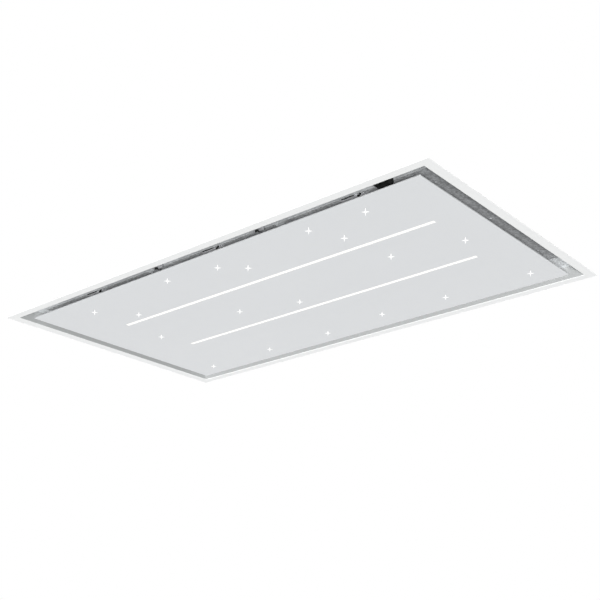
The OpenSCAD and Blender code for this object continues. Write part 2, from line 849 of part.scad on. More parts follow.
module terminal_block() color(white) translate([
    control_x + control_l - control_t - terminal_l - terminal_gap,
    control_in_y - control_w / 4,
    casing_top_z + control_t
]) difference() {
    span([0, terminal_l], [-terminal_w / 2, terminal_w / 2], [0, terminal_h]);
    for (i = [0:terminal_ways - 1])
        translate([(i + 0.5) * terminal_l / terminal_ways, 0, terminal_h - terminal_hole_l])
            cylinder(h = terminal_hole_l + over, d = terminal_hole_d);
}

module cable_gland() color(dark)
    translate([control_x + control_l, control_in_y + gland_y, casing_top_z + gland_z]) difference() {
        union() {
            rod_x([-gland_in, 0], 0, 0, gland_thread_d);
            translate([-control_t - gland_nut_t, 0, 0]) rotate([0, 90, 0])
                cylinder(h = gland_nut_t, d = gland_hex_d, $fn = 6);
            rotate([0, 90, 0]) cylinder(h = gland_hex_t, d = gland_hex_d, $fn = 6);
            rod_x([0, gland_hex_t + gland_cap_l], 0, 0, gland_cap_d);
        }
        rod_x([-gland_in - over, gland_hex_t + gland_cap_l + over], 0, 0, gland_bore_d);
    }

module filter_frame(x) translate([x, 0, 0]) difference() {
    high = deck_z + filter_h;
    half = filter_w / 2;
    union() {
        difference() {
            centred(half, filter_edge, [deck_z, high]);
            centred(half - filter_border, filter_edge - filter_border, [deck_z - over, high + over]);
            centred(half - filter_t, filter_edge - filter_t, [deck_z + filter_t, high - filter_t]);
            mitres(half, filter_edge, filter_border, [deck_z - over, high + over]);
        }
        for (side = [-1, 1]) {
            span(
                [side * tongue_x - tongue_w / 2, side * tongue_x + tongue_w / 2],
                [filter_edge - filter_t, bay_y + tongue_reach],
                [deck_top + tongue_clear, deck_top + tongue_clear + tongue_t]
            );
            for (y = [-rivet_step, 0, rivet_step])
                translate([side * (half - filter_border + rivet_edge), y, deck_z - rivet_rise])
                    cylinder(h = rivet_rise + filter_t / 2, d = rivet_d);
        }
    }
    span(
        [-nose_w / 2 - nose_clear, nose_w / 2 + nose_clear],
        [-stem_edge - nose_clear, -stem_edge + stem_l + latch_travel + nose_clear],
        [deck_z - over, deck_z + filter_t + nose_clear]
    );
    span(
        [-nose_w / 2 - nose_clear, nose_w / 2 + nose_clear],
        [-filter_edge - over, -filter_edge + filter_t + nose_clear],
        [nose_low - nose_clear, nose_high + nose_clear]
    );
}

module filter_frame_left() color(steel) filter_frame(filter_x[0]);

module filter_frame_centre() color(steel) filter_frame(filter_x[1]);

module filter_frame_right() color(steel) filter_frame(filter_x[2]);

// Two layers of bars, each tucked into the filter's border at both ends
module filter_mesh(x) translate([x, 0, 0]) {
    half_x = filter_w / 2 - filter_border;
    half_y = filter_edge - filter_border;
    step_x = (2 * half_x - mesh_rib) / mesh_columns;
    step_y = (2 * half_y - mesh_rib) / mesh_rows;
    low = deck_z + filter_t;
    middle = low + mesh_t;
    high = middle + mesh_t;
    for (i = [0:mesh_columns]) {
        from = i * step_x - half_x;
        span([from, from + mesh_rib], [-half_y - mesh_tuck, half_y + mesh_tuck], [low, middle]);
    }
    for (i = [0:mesh_rows]) {
        from = i * step_y - half_y;
        span([-half_x - mesh_tuck, half_x + mesh_tuck], [from, from + mesh_rib], [middle + seam, high]);
    }
}

module filter_mesh_left() color(zinc) filter_mesh(filter_x[0]);

module filter_mesh_centre() color(zinc) filter_mesh(filter_x[1]);

module filter_mesh_right() color(zinc) filter_mesh(filter_x[2]);

// A pull plate with a stem through the filter's border and a sloped nose over the deck's edge
module filter_latch(x) translate([x, 0, 0]) difference() {
    low = latch_top - latch_t;
    union() {
        span([-latch_w / 2, latch_w / 2], [-latch_edge, latch_l - latch_edge], [low, latch_top]);
        span([-nose_w / 2, nose_w / 2], [-stem_edge, stem_l - stem_edge], [latch_top - lap, nose_high]);
        across_x(nose_w) polygon([
            [stem_l - stem_edge, nose_low], [nose_clear - bay_y, nose_low],
            [-bay_y - nose_reach, nose_low + nose_reach + nose_clear],
            [-bay_y - nose_reach, nose_high], [stem_l - stem_edge, nose_high]
        ]);
    }
    translate([finger_hole_x, finger_hole_in - latch_edge, low - over])
        cylinder(h = latch_t + over - finger_hole_floor, d = finger_hole_d);
    for (y = [latch_hole_in, latch_l - latch_hole_in])
        translate([latch_hole_x, y - latch_edge, low - over])
            cylinder(h = latch_t + 2 * over, d = latch_hole_d);
}

module filter_latch_left() color(steel) filter_latch(filter_x[0]);

module filter_latch_centre() color(steel) filter_latch(filter_x[1]);

module filter_latch_right() color(steel) filter_latch(filter_x[2]);

// A star of four slim arms that narrow from their roots to their blunt tips, grown by g
module star_outline(g) {
    long = star_long / 2 + g;
    short = star_short / 2 + g;
    root = [star_root[0] + g, star_root[1] + g];
    tip = [star_tip[0] + g, star_tip[1] + g];
    corner = [[short, tip[1]], root, [tip[0], long]];
    polygon([
        for (p = corner) p,
        for (i = [2:-1:0]) [-corner[i][0], corner[i][1]],
        for (p = corner) -p,
        for (i = [2:-1:0]) [corner[i][0], -corner[i][1]]
    ]);
}

module at_stars() {
    for (p = star_xy) translate([p[0], p[1], 0]) rotate(star_turn) children();
}

// Places its child at each strip, with half the strip's length in $half
module at_strips() {
    for (i = [0, 1]) translate([strip_x, strip_y[i], 0]) {
        $half = strip_l[i] / 2;
        children();
    }
}

module panel_face() color(panel_white) difference() {
    union() {
        centred(panel_x, panel_y, [panel_low, panel_top]);
        difference() {
            centred(panel_x, panel_y, [panel_low, panel_top + hem_t]);
            centred(panel_x - hem_w, panel_y - hem_w, [panel_low - over, panel_top + hem_t + over]);
        }
    }
    at_strips() centred($half, strip_w / 2, [panel_low - over, panel_top + over]);
    at_stars() translate([0, 0, panel_low - over])
        linear_extrude(panel_t + 2 * over) star_outline(lens_clear);
}

module light_profiles() color(zinc) at_strips() difference() {
    centred($half + profile_over, profile_w / 2, [panel_top, panel_top + profile_h]);
    centred(
        $half + profile_over - profile_t, profile_w / 2 - profile_t,
        [panel_top - over, panel_top + profile_h - profile_t]
    );
}

module light_diffusers() color(lit) at_strips() union() {
    centred($half - lens_clear, strip_w / 2 - lens_clear, [panel_low, panel_top + diffuser_lip]);
    centred(
        $half + profile_over - profile_t - lens_clear, profile_w / 2 - profile_t - lens_clear,
        [panel_top, panel_top + diffuser_lip]
    );
}

module led_boards() color(copper_green) at_strips() centred(
    $half, led_board_w / 2,
    [panel_top + profile_h - profile_t - led_board_t, panel_top + profile_h - profile_t]
);

module star_lenses() color(lit) at_stars() union() {
    translate([0, 0, panel_low]) linear_extrude(panel_t + star_disc_t / 2) star_outline(0);
    translate([0, 0, panel_top]) cylinder(h = star_disc_t, d = star_disc_d);
}

module star_boards() color(copper_green) at_stars() translate([0, 0, panel_top + star_disc_t]) union() {
    cylinder(h = star_board_t, d = star_board_d);
    translate([0, 0, star_board_t]) centred(star_plug[0] / 2, star_plug[1] / 2, [-lap, star_plug[2]]);
}

// A hollow rail that lies along the panel's width, open towards the panel
module stiffener(x, y) difference() {
    span([x - stiffener_w / 2, x + stiffener_w / 2], y, [panel_top, panel_top + stiffener_h]);
    span(
        [x - stiffener_w / 2 + stiffener_t, x + stiffener_w / 2 - stiffener_t],
        [y[0] - over, y[1] + over],
        [panel_top - over, panel_top + stiffener_h - stiffener_t]
    );
}

module panel_stiffeners() color(zinc) {
    reach = panel_y - stiffener_end_in;
    gap = profile_w / 2 + stiffener_clear;
    for (x = stiffener_x) {
        stiffener(x, [-reach, strip_y[0] - gap]);
        stiffener(x, [strip_y[0] + gap, strip_y[1] - gap]);
        stiffener(x, [strip_y[1] + gap, reach]);
    }
    for (side = [-1, 1]) stiffener(side * (panel_x - end_stiffener_in), [-reach, reach]);
}

module light_driver() color(white) difference() {
    translate([driver_xy[0], driver_xy[1], 0]) union() {
        centred(driver_size[0] / 2, driver_size[1] / 2, [panel_top, panel_top + driver_size[2]]);
        centred(driver_size[0] / 2 + driver_ear, driver_size[1] / 4, [panel_top, panel_top + arm_foot_t]);
    }
    driver_studs(stud_d + 2 * hole_clear, panel_top - over, panel_top + arm_foot_t + over);
}

frame_flanges();
frame_walls();
ceiling_gasket();
frame_screws();
casing_sides();
casing_ends();
casing_corners();
casing_top();
deck_rails();
deck_crossbars();
hinge_brackets();
hinge_pins();
catch_bodies();
remote_receiver();
hanger_brackets();
blower_box_sides();
blower_box_ends();
blower_box_top();
scroll_housing();
inlet_rings();
blower_blocks();
blower_motor();
motor_bracket();
motor_mounts();
outlet_collar();
flap_pin();
control_box();
control_box_lid();
control_box_screws();
control_board();
motor_capacitor();
terminal_block();
cable_gland();
impeller();
impeller_shaft();
flap_left();
flap_right();
filter_frame_left();
filter_frame_centre();
filter_frame_right();
filter_mesh_left();
filter_mesh_centre();
filter_mesh_right();
filter_latch_left();
filter_latch_centre();
filter_latch_right();
catch_plunger_left();
catch_plunger_right();
panel_face();
panel_stiffeners();
light_profiles();
led_boards();
light_diffusers();
star_lenses();
star_boards();
light_driver();
hinge_arms();
strike_posts();
panel_fasteners();
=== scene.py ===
import json
import math

import bmesh
import bpy
from mathutils import Matrix, Vector


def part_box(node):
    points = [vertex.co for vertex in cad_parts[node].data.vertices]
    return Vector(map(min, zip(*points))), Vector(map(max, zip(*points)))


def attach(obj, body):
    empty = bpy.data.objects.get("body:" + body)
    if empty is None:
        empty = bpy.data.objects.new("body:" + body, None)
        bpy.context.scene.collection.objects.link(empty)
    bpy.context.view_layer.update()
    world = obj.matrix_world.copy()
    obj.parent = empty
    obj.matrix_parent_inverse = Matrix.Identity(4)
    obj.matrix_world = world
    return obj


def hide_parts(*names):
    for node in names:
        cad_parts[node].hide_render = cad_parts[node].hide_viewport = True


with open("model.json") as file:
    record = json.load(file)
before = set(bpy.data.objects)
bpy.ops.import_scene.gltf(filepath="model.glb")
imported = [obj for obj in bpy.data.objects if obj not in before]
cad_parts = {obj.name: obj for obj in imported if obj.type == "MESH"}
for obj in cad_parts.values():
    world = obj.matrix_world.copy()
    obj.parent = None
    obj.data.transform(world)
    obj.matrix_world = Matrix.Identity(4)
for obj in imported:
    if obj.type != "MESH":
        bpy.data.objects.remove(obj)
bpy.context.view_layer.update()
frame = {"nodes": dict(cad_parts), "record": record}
mm = 0.001
samePlace = 0.01 * mm  # points nearer than this are one point
cutterPast = 1 * mm  # how far a cutter stands out of the face that it cuts
print("frame loaded:", len(frame["nodes"]), "nodes")


# Camera

view = {
    "place": (1.45908, -1.77036, -0.93093),  # near right, below the ceiling
    "yaw": -38.917,
    "pitch": 21.892,
    "roll": -0.675,
    "lens": 64.186,
    "sensor": 36,
}


def addCamera():
    data = bpy.data.cameras.new("photoCamera")
    data.lens = view["lens"]
    data.sensor_width = view["sensor"]
    camera = bpy.data.objects.new("photoCamera", data)
    bpy.context.scene.collection.objects.link(camera)
    turn = Matrix.Rotation(math.radians(-view["yaw"]), 4, "Z")
    tilt = Matrix.Rotation(math.radians(90 + view["pitch"]), 4, "X")
    roll = Matrix.Rotation(math.radians(view["roll"]), 4, "Z")
    camera.matrix_world = Matrix.Translation(view["place"]) @ turn @ tilt @ roll
    bpy.context.scene.camera = camera


addCamera()
print("camera set")


# Hands: what every piece below is made with

def deselectAll():
    if bpy.context.object and bpy.context.object.mode != "OBJECT":
        bpy.ops.object.mode_set(mode="OBJECT")
    bpy.ops.object.select_all(action="DESELECT")


def makeActive(piece):
    deselectAll()
    piece.hide_viewport = False
    piece.select_set(True)
    bpy.context.view_layer.objects.active = piece


def settle(piece):
    makeActive(piece)
    bpy.ops.object.transform_apply(location=True, rotation=True, scale=True)
    return piece


def addBlock(name, low, high):
    deselectAll()
    bpy.ops.mesh.primitive_cube_add(size=1, location=[(a + b) / 2 for a, b in zip(low, high)])
    block = bpy.context.object
    block.name = name
    block.scale = [b - a for a, b in zip(low, high)]
    return settle(block)


def addRod(name, start, end, radius, sides=32):
    along = Vector(end) - Vector(start)
    deselectAll()
    bpy.ops.mesh.primitive_cylinder_add(vertices=sides, radius=radius, depth=along.length)
    rod = bpy.context.object
    rod.name = name
    rod.rotation_mode = "QUATERNION"
    rod.rotation_quaternion = along.to_track_quat("Z", "Y")
    rod.location = (Vector(start) + Vector(end)) / 2
    return settle(rod)


# Opens the piece in edit mode with the faces, edges or points that pass the test picked out
def pick(piece, kind, test):
    makeActive(piece)
    bpy.ops.object.mode_set(mode="EDIT")
    bpy.ops.mesh.select_mode(type=kind)
    bpy.ops.mesh.select_all(action="DESELECT")
    shape = bmesh.from_edit_mesh(piece.data)
    for item in {"FACE": shape.faces, "EDGE": shape.edges, "VERT": shape.verts}[kind]:
        if test(item):
            item.select_set(True)
    bmesh.update_edit_mesh(piece.data)


def closeEdit():
    bpy.ops.object.mode_set(mode="OBJECT")


def middle(item):
    points = [item.co] if hasattr(item, "co") else [v.co for v in item.verts]
    return sum(points, Vector()) / len(points)


# An edge that rises by more than a millimetre
def upright(edge):
    return abs(edge.verts[0].co.z - edge.verts[1].co.z) > 1 * mm


def facesUp(face):
    return face.normal.z > 0.9


def liesFlat(face):
    return abs(face.normal.z) > 0.9


# Four upright walls, open at the top and the bottom, as a sheet without thickness
def addTube(name, halfX, halfY, bottom, top):
    tube = addBlock(name, (-halfX, -halfY, bottom), (halfX, halfY, top))
    pick(tube, "FACE", liesFlat)
    bpy.ops.mesh.delete(type="FACE")
    closeEdit()
    return tube


def applyModifier(piece, kind, **settings):
    makeActive(piece)
    bpy.ops.object.modifier_add(type=kind)
    modifier = piece.modifiers[-1]
    for key, value in settings.items():
        setattr(modifier, key, value)
    bpy.ops.object.modifier_apply(modifier=modifier.name)
    return piece


def softenEdges(piece, width, segments=2, angle=40):
    return applyModifier(
        piece, "BEVEL", width=width, segments=segments, limit_method="ANGLE",
        angle_limit=math.radians(angle), use_clamp_overlap=False, harden_normals=False,
    )


def cutAway(piece, *cutters):
    for cutter in cutters:
        applyModifier(piece, "BOOLEAN", operation="DIFFERENCE", solver="EXACT", object=cutter)
        bpy.data.objects.remove(cutter)
    return piece


def joinPieces(name, pieces):
    deselectAll()
    for piece in pieces:
        piece.select_set(True)
    bpy.context.view_layer.objects.active = pieces[0]
    if len(pieces) > 1:
        bpy.ops.object.join()
    bpy.context.object.name = name
    return bpy.context.object


# A copy with its own mesh, turned about z, laid with its z towards a side, and then moved
def placeCopy(piece, place, turn=0.0, side=(0, 0, 1)):
    copy = piece.copy()
    copy.data = piece.data.copy()
    bpy.context.scene.collection.objects.link(copy)
    lean = Matrix() if side[2] else Vector(side).to_track_quat("Z", "Y").to_matrix().to_4x4()
    copy.data.transform(Matrix.Translation(place) @ lean @ Matrix.Rotation(turn, 4, "Z"))
    return copy


# Copies of one piece at all its places, joined; the turn is one angle or a list of them
def spread(name, piece, places, turn=0.0, side=(0, 0, 1)):
    turns = turn if isinstance(turn, list) else [turn] * len(places)
    copies = [placeCopy(piece, place, own, side) for place, own in zip(places, turns)]
    bpy.data.objects.remove(piece)
    return joinPieces(name, copies)


# The CAD solid's own shape, merged into clean faces so that its edges can be rounded
def copyNode(node, name, edge=0.4 * mm, segments=2):
    source = frame["nodes"][node]
    copy = source.copy()
    copy.data = source.data.copy()
    copy.parent = None
    for key in list(copy.keys()):
        del copy[key]
    copy.name = name
    bpy.context.scene.collection.objects.link(copy)
    makeActive(copy)
    bpy.ops.object.mode_set(mode="EDIT")
    bpy.ops.mesh.select_all(action="SELECT")
    bpy.ops.mesh.remove_doubles(threshold=samePlace)
    bpy.ops.mesh.dissolve_limited(angle_limit=math.radians(0.5))
    closeEdit()
    if edge:
        softenEdges(copy, edge, segments)
    return copy


# A new piece rides with the nodes that it stands for, and takes the finish given to it
bodyOf = {node: body for body, nodes in frame["record"]["behaviour"]["bodies"].items() for node in nodes}


def dressPiece(piece, material, body, smooth=32):
    makeActive(piece)
    bpy.ops.object.shade_smooth_by_angle(angle=math.radians(smooth))
    applyModifier(piece, "WEIGHTED_NORMAL", keep_sharp=True)
    piece.data.materials.clear()
    piece.data.materials.append(material)
    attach(piece, body)
    return piece


def finishPiece(piece, material, node, smooth=32):
    dressPiece(piece, material, bodyOf[node], smooth)
    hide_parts(node)
    return piece


# Finishes: node set-ups on Object coordinates, in metres

# A colour as a screen gives it, from 0 to 255, turned into Blender's linear one
def tone(red, green, blue):
    shares = [value / 255 for value in (red, green, blue)]
    return [((share + 0.055) / 1.055) ** 2.4 if share > 0.04 else share / 12.92 for share in shares] + [1]


def addNode(tree, kind, inputs=None, **settings):
    node = tree.nodes.new(kind)
    for key, value in settings.items():
        setattr(node, key, value)
    for key, value in (inputs or {}).items():
        if isinstance(value, bpy.types.NodeSocket):
            tree.links.new(value, node.inputs[key])
        else:
            node.inputs[key].default_value = value
    return node


def startFinish(name, roughness, metallic=0.0):
    material = bpy.data.materials.new(name)
    material.use_nodes = True
    tree = material.node_tree
    shader = tree.nodes["Principled BSDF"]
    shader.inputs["Roughness"].default_value = roughness
    shader.inputs["Metallic"].default_value = metallic
    return material, tree, shader, addNode(tree, "ShaderNodeTexCoord").outputs["Object"]


def noise(tree, place, scale, detail=3.0, stretch=None):
    if stretch:
        place = addNode(tree, "ShaderNodeMapping", {"Vector": place, "Scale": stretch}).outputs["Vector"]
    values = {"Vector": place, "Scale": scale, "Detail": detail}
    return addNode(tree, "ShaderNodeTexNoise", values).outputs["Fac"]


def ranged(tree, value, low, high, start=0.3, end=0.7):
    return addNode(tree, "ShaderNodeMapRange", {
        "Value": value, "From Min": start, "From Max": end, "To Min": low, "To Max": high,
    }).outputs["Result"]


def blendTones(tree, factor, first, second, mode="MIX"):
    mix = addNode(tree, "ShaderNodeMix", {"Factor": factor}, data_type="RGBA", blend_type=mode)
    for socket, value in ((mix.inputs[6], first), (mix.inputs[7], second)):
        if isinstance(value, bpy.types.NodeSocket):
            tree.links.new(value, socket)
        else:
            socket.default_value = value
    return mix.outputs[2]


def darker(colour, share):
    return [c * share for c in colour[:3]] + [1]


def addBump(tree, shader, height, depth, strength=1.0):
    bump = addNode(tree, "ShaderNodeBump", {"Height": height, "Distance": depth, "Strength": strength})
    tree.links.new(bump.outputs["Normal"], shader.inputs["Normal"])


grainDepth = {
    "paint": 0.02 * mm,
    "zinc": 0.03 * mm,
    "metal": 0.03 * mm,
    "foam": 0.2 * mm,
    "board": 0.05 * mm,
}


# Sprayed paint: an even coat with a slight cloudiness, a fine grain and a little dust.
# Where the last share is under 1, the edges are darkened as painted shade and the back gets a darker coat;
# the side that faces down keeps the full colour.
def makePaint(name, colour, roughness, grain, cloud=0.97, edgeShadeAndBackShare=1.0):
    material, tree, shader, place = startFinish(name, roughness)
    shader.inputs["Specular IOR Level"].default_value = 0.2
    clouds = ranged(tree, noise(tree, place, 2.5, 4), 0, 1)
    specks = ranged(tree, noise(tree, place, grain / 3, 2), 0, 0.35, 0.62, 0.75)
    base = blendTones(tree, clouds, darker(colour, cloud), colour)
    base = blendTones(tree, specks, base, darker(colour, 0.93))
    if edgeShadeAndBackShare < 1:
        normal = addNode(tree, "ShaderNodeTexCoord").outputs["Normal"]
        lie = addNode(tree, "ShaderNodeSeparateXYZ", {"Vector": normal}).outputs["Z"]
        # painted shade on the edges, and a darker coat on the back
        base = blendTones(tree, ranged(tree, lie, 1, 0, -0.98, -0.6), darker(colour, edgeShadeAndBackShare), base)
    tree.links.new(base, shader.inputs["Base Color"])
    rough = ranged(tree, noise(tree, place, 35), roughness - 0.05, roughness + 0.06)
    tree.links.new(rough, shader.inputs["Roughness"])
    addBump(tree, shader, noise(tree, place, grain, 2), grainDepth["paint"], 0.5)
    return material


zinc = {"crystals": 120, "warp": 0.012, "bloom": tone(196, 198, 198)}  # crystals across a metre


# Hot-dip zinc: crystals of different tones, a dull bloom and rolling marks
def makeGalvanised(name, colour):
    material, tree, shader, place = startFinish(name, 0.42, 0.3)
    warp = addNode(tree, "ShaderNodeTexNoise", {"Vector": place, "Scale": 30, "Detail": 2}).outputs["Color"]
    bend = {"Factor": zinc["warp"], 4: place, 5: warp}
    bent = addNode(tree, "ShaderNodeMix", bend, data_type="VECTOR").outputs[1]
    cells = addNode(tree, "ShaderNodeTexVoronoi", {"Vector": bent, "Scale": zinc["crystals"]})
    part = addNode(tree, "ShaderNodeSeparateColor", {"Color": cells.outputs["Color"]})
    base = blendTones(tree, part.outputs[0], darker(colour, 0.84), darker(colour, 1.08))
    bloom = ranged(tree, noise(tree, place, 6, 5), 0, 0.45, 0.45, 0.75)
    base = blendTones(tree, bloom, base, zinc["bloom"])
    tree.links.new(base, shader.inputs["Base Color"])
    tree.links.new(ranged(tree, part.outputs[1], 0.34, 0.52, 0, 1), shader.inputs["Roughness"])
    addBump(tree, shader, noise(tree, place, 300, 3, (1, 0.08, 1)), grainDepth["zinc"], 0.4)
    return material


rolled = {"grain": 500, "contrast": 0.12}  # lines across a metre, and how much darker they are


# Bare metal with a grain that runs one way, smeared and a little mottled
def makeMetal(name, colour, roughness, stretch, metallic=0.85, mottle=0.08):
    material, tree, shader, place = startFinish(name, roughness, metallic)
    grain = noise(tree, place, rolled["grain"], 4, stretch)
    smears = noise(tree, place, 14, 4)
    shade = darker(colour, 1 - rolled["contrast"])
    base = blendTones(tree, ranged(tree, grain, 0, 1), shade, colour)
    base = blendTones(tree, ranged(tree, smears, 0, 0.4, 0.5, 0.8), base, darker(colour, 0.82))
    spots = ranged(tree, noise(tree, place, 190, 2), 1 - mottle, 1, 0.35, 0.65)
    base = blendTones(tree, 1.0, base, spots, "MULTIPLY")
    tree.links.new(base, shader.inputs["Base Color"])
    tree.links.new(ranged(tree, grain, roughness - 0.08, roughness + 0.1), shader.inputs["Roughness"])
    addBump(tree, shader, grain, grainDepth["metal"], 0.5)
    return material


# Moulded plastic or rubber: spark-eroded grain and a faint bloom
def makeMoulded(name, colour, roughness, bloom, grain=1400, depth=0.04 * mm):
    material, tree, shader, place = startFinish(name, roughness)
    shader.inputs["Specular IOR Level"].default_value = 0.25
    pale = [c + (0.35 - c) * bloom for c in colour[:3]] + [1]
    base = blendTones(tree, ranged(tree, noise(tree, place, 45, 5), 0, 1, 0.45, 0.75), colour, pale)
    tree.links.new(base, shader.inputs["Base Color"])
    rough = ranged(tree, noise(tree, place, 90), roughness - 0.06, roughness + 0.08)
    tree.links.new(rough, shader.inputs["Roughness"])
    addBump(tree, shader, noise(tree, place, grain, 2), depth, 0.6)
    return material


# Soft foam with fine pores, darker inside them as painted shade
def makeFoam(name, colour):
    material, tree, shader, place = startFinish(name, 0.9)
    pores = addNode(tree, "ShaderNodeTexVoronoi", {"Vector": place, "Scale": 900}).outputs["Distance"]
    # painted shade: the pores are coloured darker
    base = blendTones(tree, ranged(tree, pores, 0, 1, 0.1, 0.6), darker(colour, 0.6), colour)
    tree.links.new(base, shader.inputs["Base Color"])
    addBump(tree, shader, pores, grainDepth["foam"], 0.7)
    return material


# Solder mask over copper tracks
def makeBoard(name, colour):
    material, tree, shader, place = startFinish(name, 0.35)
    tracks = addNode(tree, "ShaderNodeTexBrick", {
        "Vector": place, "Scale": 60, "Mortar Size": 0.012, "Color1": colour, "Color2": darker(colour, 0.8),
        "Mortar": tone(70, 128, 74),
    }, offset=0.37, squash=1.4)
    dust = ranged(tree, noise(tree, place, 80, 4), 0, 0.3, 0.5, 0.8)
    base = blendTones(tree, dust, tracks.outputs["Color"], tone(120, 140, 118))
    tree.links.new(base, shader.inputs["Base Color"])
    addBump(tree, shader, tracks.outputs["Fac"], grainDepth["board"], 0.5)
    return material


# Opal plastic lit from behind, a little brighter over each of its diodes
def makeLit(name, colour, level, pitch):
    material, tree, shader, place = startFinish(name, 0.3)
    shader.inputs["Emission Strength"].default_value = level
    waves = addNode(tree, "ShaderNodeTexWave", {
        "Vector": place, "Scale": pitch, "Distortion": 0.0,
    }, bands_direction="X").outputs["Fac"]
    glow = blendTones(tree, waves, darker(colour, 0.97), colour)
    tree.links.new(glow, shader.inputs["Emission Color"])
    unlit = 0.22  # the plastic's own grey
    frost = ranged(tree, noise(tree, place, 500, 2), unlit * 0.9, unlit * 1.1)
    grey = addNode(tree, "ShaderNodeCombineColor", {0: frost, 1: frost, 2: frost}).outputs[0]
    tree.links.new(grey, shader.inputs["Base Color"])
    return material


frameWhite = makePaint("frameWhite", tone(243, 244, 244), 0.36, 1500, 0.99)
# Painted shade: the walls of the recess are coloured grey for the shade that falls in it
wallGreyPaintedShade = makePaint("wallGreyPaintedShade", tone(184, 186, 186), 0.4, 1500)
# its edges get painted shade and its back a darker coat
panelWhite = makePaint("panelWhite", tone(224, 226, 228), 0.42, 2200, 0.985, edgeShadeAndBackShare=0.7)
galvanised = makeGalvanised("galvanised", tone(186, 190, 193))
# Painted light: the deck's zinc is much lighter than the casing's, to brighten it in the dim slot above the
# panel
deckZinc = makeGalvanised("deckZinc", tone(235, 238, 240))
platedSteel = makeMetal("platedSteel", tone(196, 198, 200), 0.32, (1, 1, 0.1))
filterAlloy = makeMetal("filterAlloy", tone(200, 202, 204), 0.5, (0.05, 1, 1), 0.25, mottle=0.4)
meshAlloy = makeMetal("meshAlloy", tone(190, 192, 194), 0.42, (1, 1, 1), 0.4)
latchSteel = makeMetal("latchSteel", tone(205, 206, 209), 0.45, (0.06, 1, 1), 0.25, mottle=0.2)
lightAlloy = makeMetal("lightAlloy", tone(200, 202, 204), 0.38, (0.02, 1, 1), 0.7)
blackPlastic = makeMoulded("blackPlastic", tone(20, 22, 21), 0.55, 0.04)
whitePlastic = makeMoulded("whitePlastic", tone(202, 202, 198), 0.4, 0.05)
blackRubber = makeMoulded("blackRubber", tone(34, 34, 35), 0.8, 0.25, 700, 0.08 * mm)
motorBlack = makePaint("motorBlack", tone(46, 47, 50), 0.45, 900, 0.85)
gasketFoam = makeFoam("gasketFoam", tone(150, 150, 148))
greenBoard = makeBoard("greenBoard", tone(24, 88, 46))
litStrip = makeLit("litStrip", [1.0, 0.99, 0.95, 1], 0.84, 90)
litStar = makeLit("litStar", [1.0, 1.0, 0.99, 1], 0.95, 40)
print("finishes made")


# Stage: a white ceiling seen only from below, a pale floor, even light

stage = {
    "floorZ": -6,
    "floorSize": 60,
    "ceilingHalf": (1.9, 1.6),
    "holeHalf": (0.590, 0.335),  # 10 mm inside the edge of the flange
    "ceilingZ": 0.2 * mm,
    "skyLevel": 0.3,
}


def addFloor():
    deselectAll()
    bpy.ops.mesh.primitive_plane_add(size=stage["floorSize"], location=(0, 0, stage["floorZ"]))
    floor = settle(bpy.context.object)
    floor.name = "paleFloor"
    floor.data.materials.append(makePaint("floorPaint", tone(236, 236, 235), 0.8, 200, 0.99))
    floor.visible_shadow = False  # the low sun shines up through it
    floor.visible_diffuse = False  # so that both sides of the hood get the sky's own level


def addCeiling():
    wide, deep = stage["ceilingHalf"]
    holeX, holeY = stage["holeHalf"]
    border = deep - holeY
    deselectAll()
    bpy.ops.mesh.primitive_plane_add(size=2, location=(0, 0, stage["ceilingZ"]))
    board = bpy.context.object
    board.name = "ceilingBoard"
    board.scale = (wide, deep, 1)
    settle(board)
    pick(board, "FACE", lambda face: True)
    bpy.ops.mesh.flip_normals()
    bpy.ops.mesh.inset(thickness=border)
    closeEdit()
    pick(board, "VERT", lambda v: abs(v.co.y) < deep - border / 2)
    bpy.ops.transform.resize(value=(holeX / (wide - border), 1, 1), center_override=(0, 0, 0))
    closeEdit()
    pick(board, "FACE", lambda face: middle(face).length < border / 4)
    bpy.ops.mesh.delete(type="FACE")
    closeEdit()
    board.data.materials.append(makeCeilingFinish())


# White to the camera from below, and clear to everything else
def makeCeilingFinish():
    material = bpy.data.materials.new("ceilingSeenFromBelow")
    material.use_nodes = True
    tree = material.node_tree
    tree.nodes.remove(tree.nodes["Principled BSDF"])
    seen = addNode(tree, "ShaderNodeLightPath").outputs["Is Camera Ray"]
    above = addNode(tree, "ShaderNodeNewGeometry").outputs["Backfacing"]
    below = addNode(tree, "ShaderNodeMath", {0: seen, 1: above}, operation="SUBTRACT", use_clamp=True)
    glow = addNode(tree, "ShaderNodeEmission", {"Color": (1, 1, 1, 1), "Strength": 1})
    clear = addNode(tree, "ShaderNodeBsdfTransparent")
    mix = addNode(tree, "ShaderNodeMixShader", {
        0: below.outputs[0], 1: clear.outputs[0], 2: glow.outputs[0],
    })
    tree.links.new(mix.outputs[0], tree.nodes["Material Output"].inputs["Surface"])
    return material


def addWorld():
    world = bpy.data.worlds.new("studio")
    bpy.context.scene.world = world
    world.use_nodes = True
    tree = world.node_tree
    path = addNode(tree, "ShaderNodeLightPath").outputs
    seen = path["Is Camera Ray"]
    for ray in ("Is Glossy Ray", "Is Transmission Ray"):
        seen = addNode(tree, "ShaderNodeMath", {0: seen, 1: path[ray]}, operation="MAXIMUM").outputs[0]
    level = ranged(tree, seen, stage["skyLevel"], 1, 0, 1)
    back = tree.nodes["Background"]
    back.inputs["Color"].default_value = (1, 1, 1, 1)
    tree.links.new(level, back.inputs["Strength"])


suns = {
    "fromBelow": {"towards": (-1.0, 1.45, 1.0), "strength": 4.1, "softness": 16},
    "fromAbove": {"towards": (0.9, 0.8, -1.6), "strength": 2.4, "softness": 25},
}


def addSuns():
    for name, values in suns.items():
        data = bpy.data.lights.new(name, "SUN")
        data.energy = values["strength"]
        data.angle = math.radians(values["softness"])
        sun = bpy.data.objects.new(name, data)
        sun.rotation_mode = "QUATERNION"
        sun.rotation_quaternion = Vector(values["towards"]).to_track_quat("-Z", "Y")
        bpy.context.scene.collection.objects.link(sun)


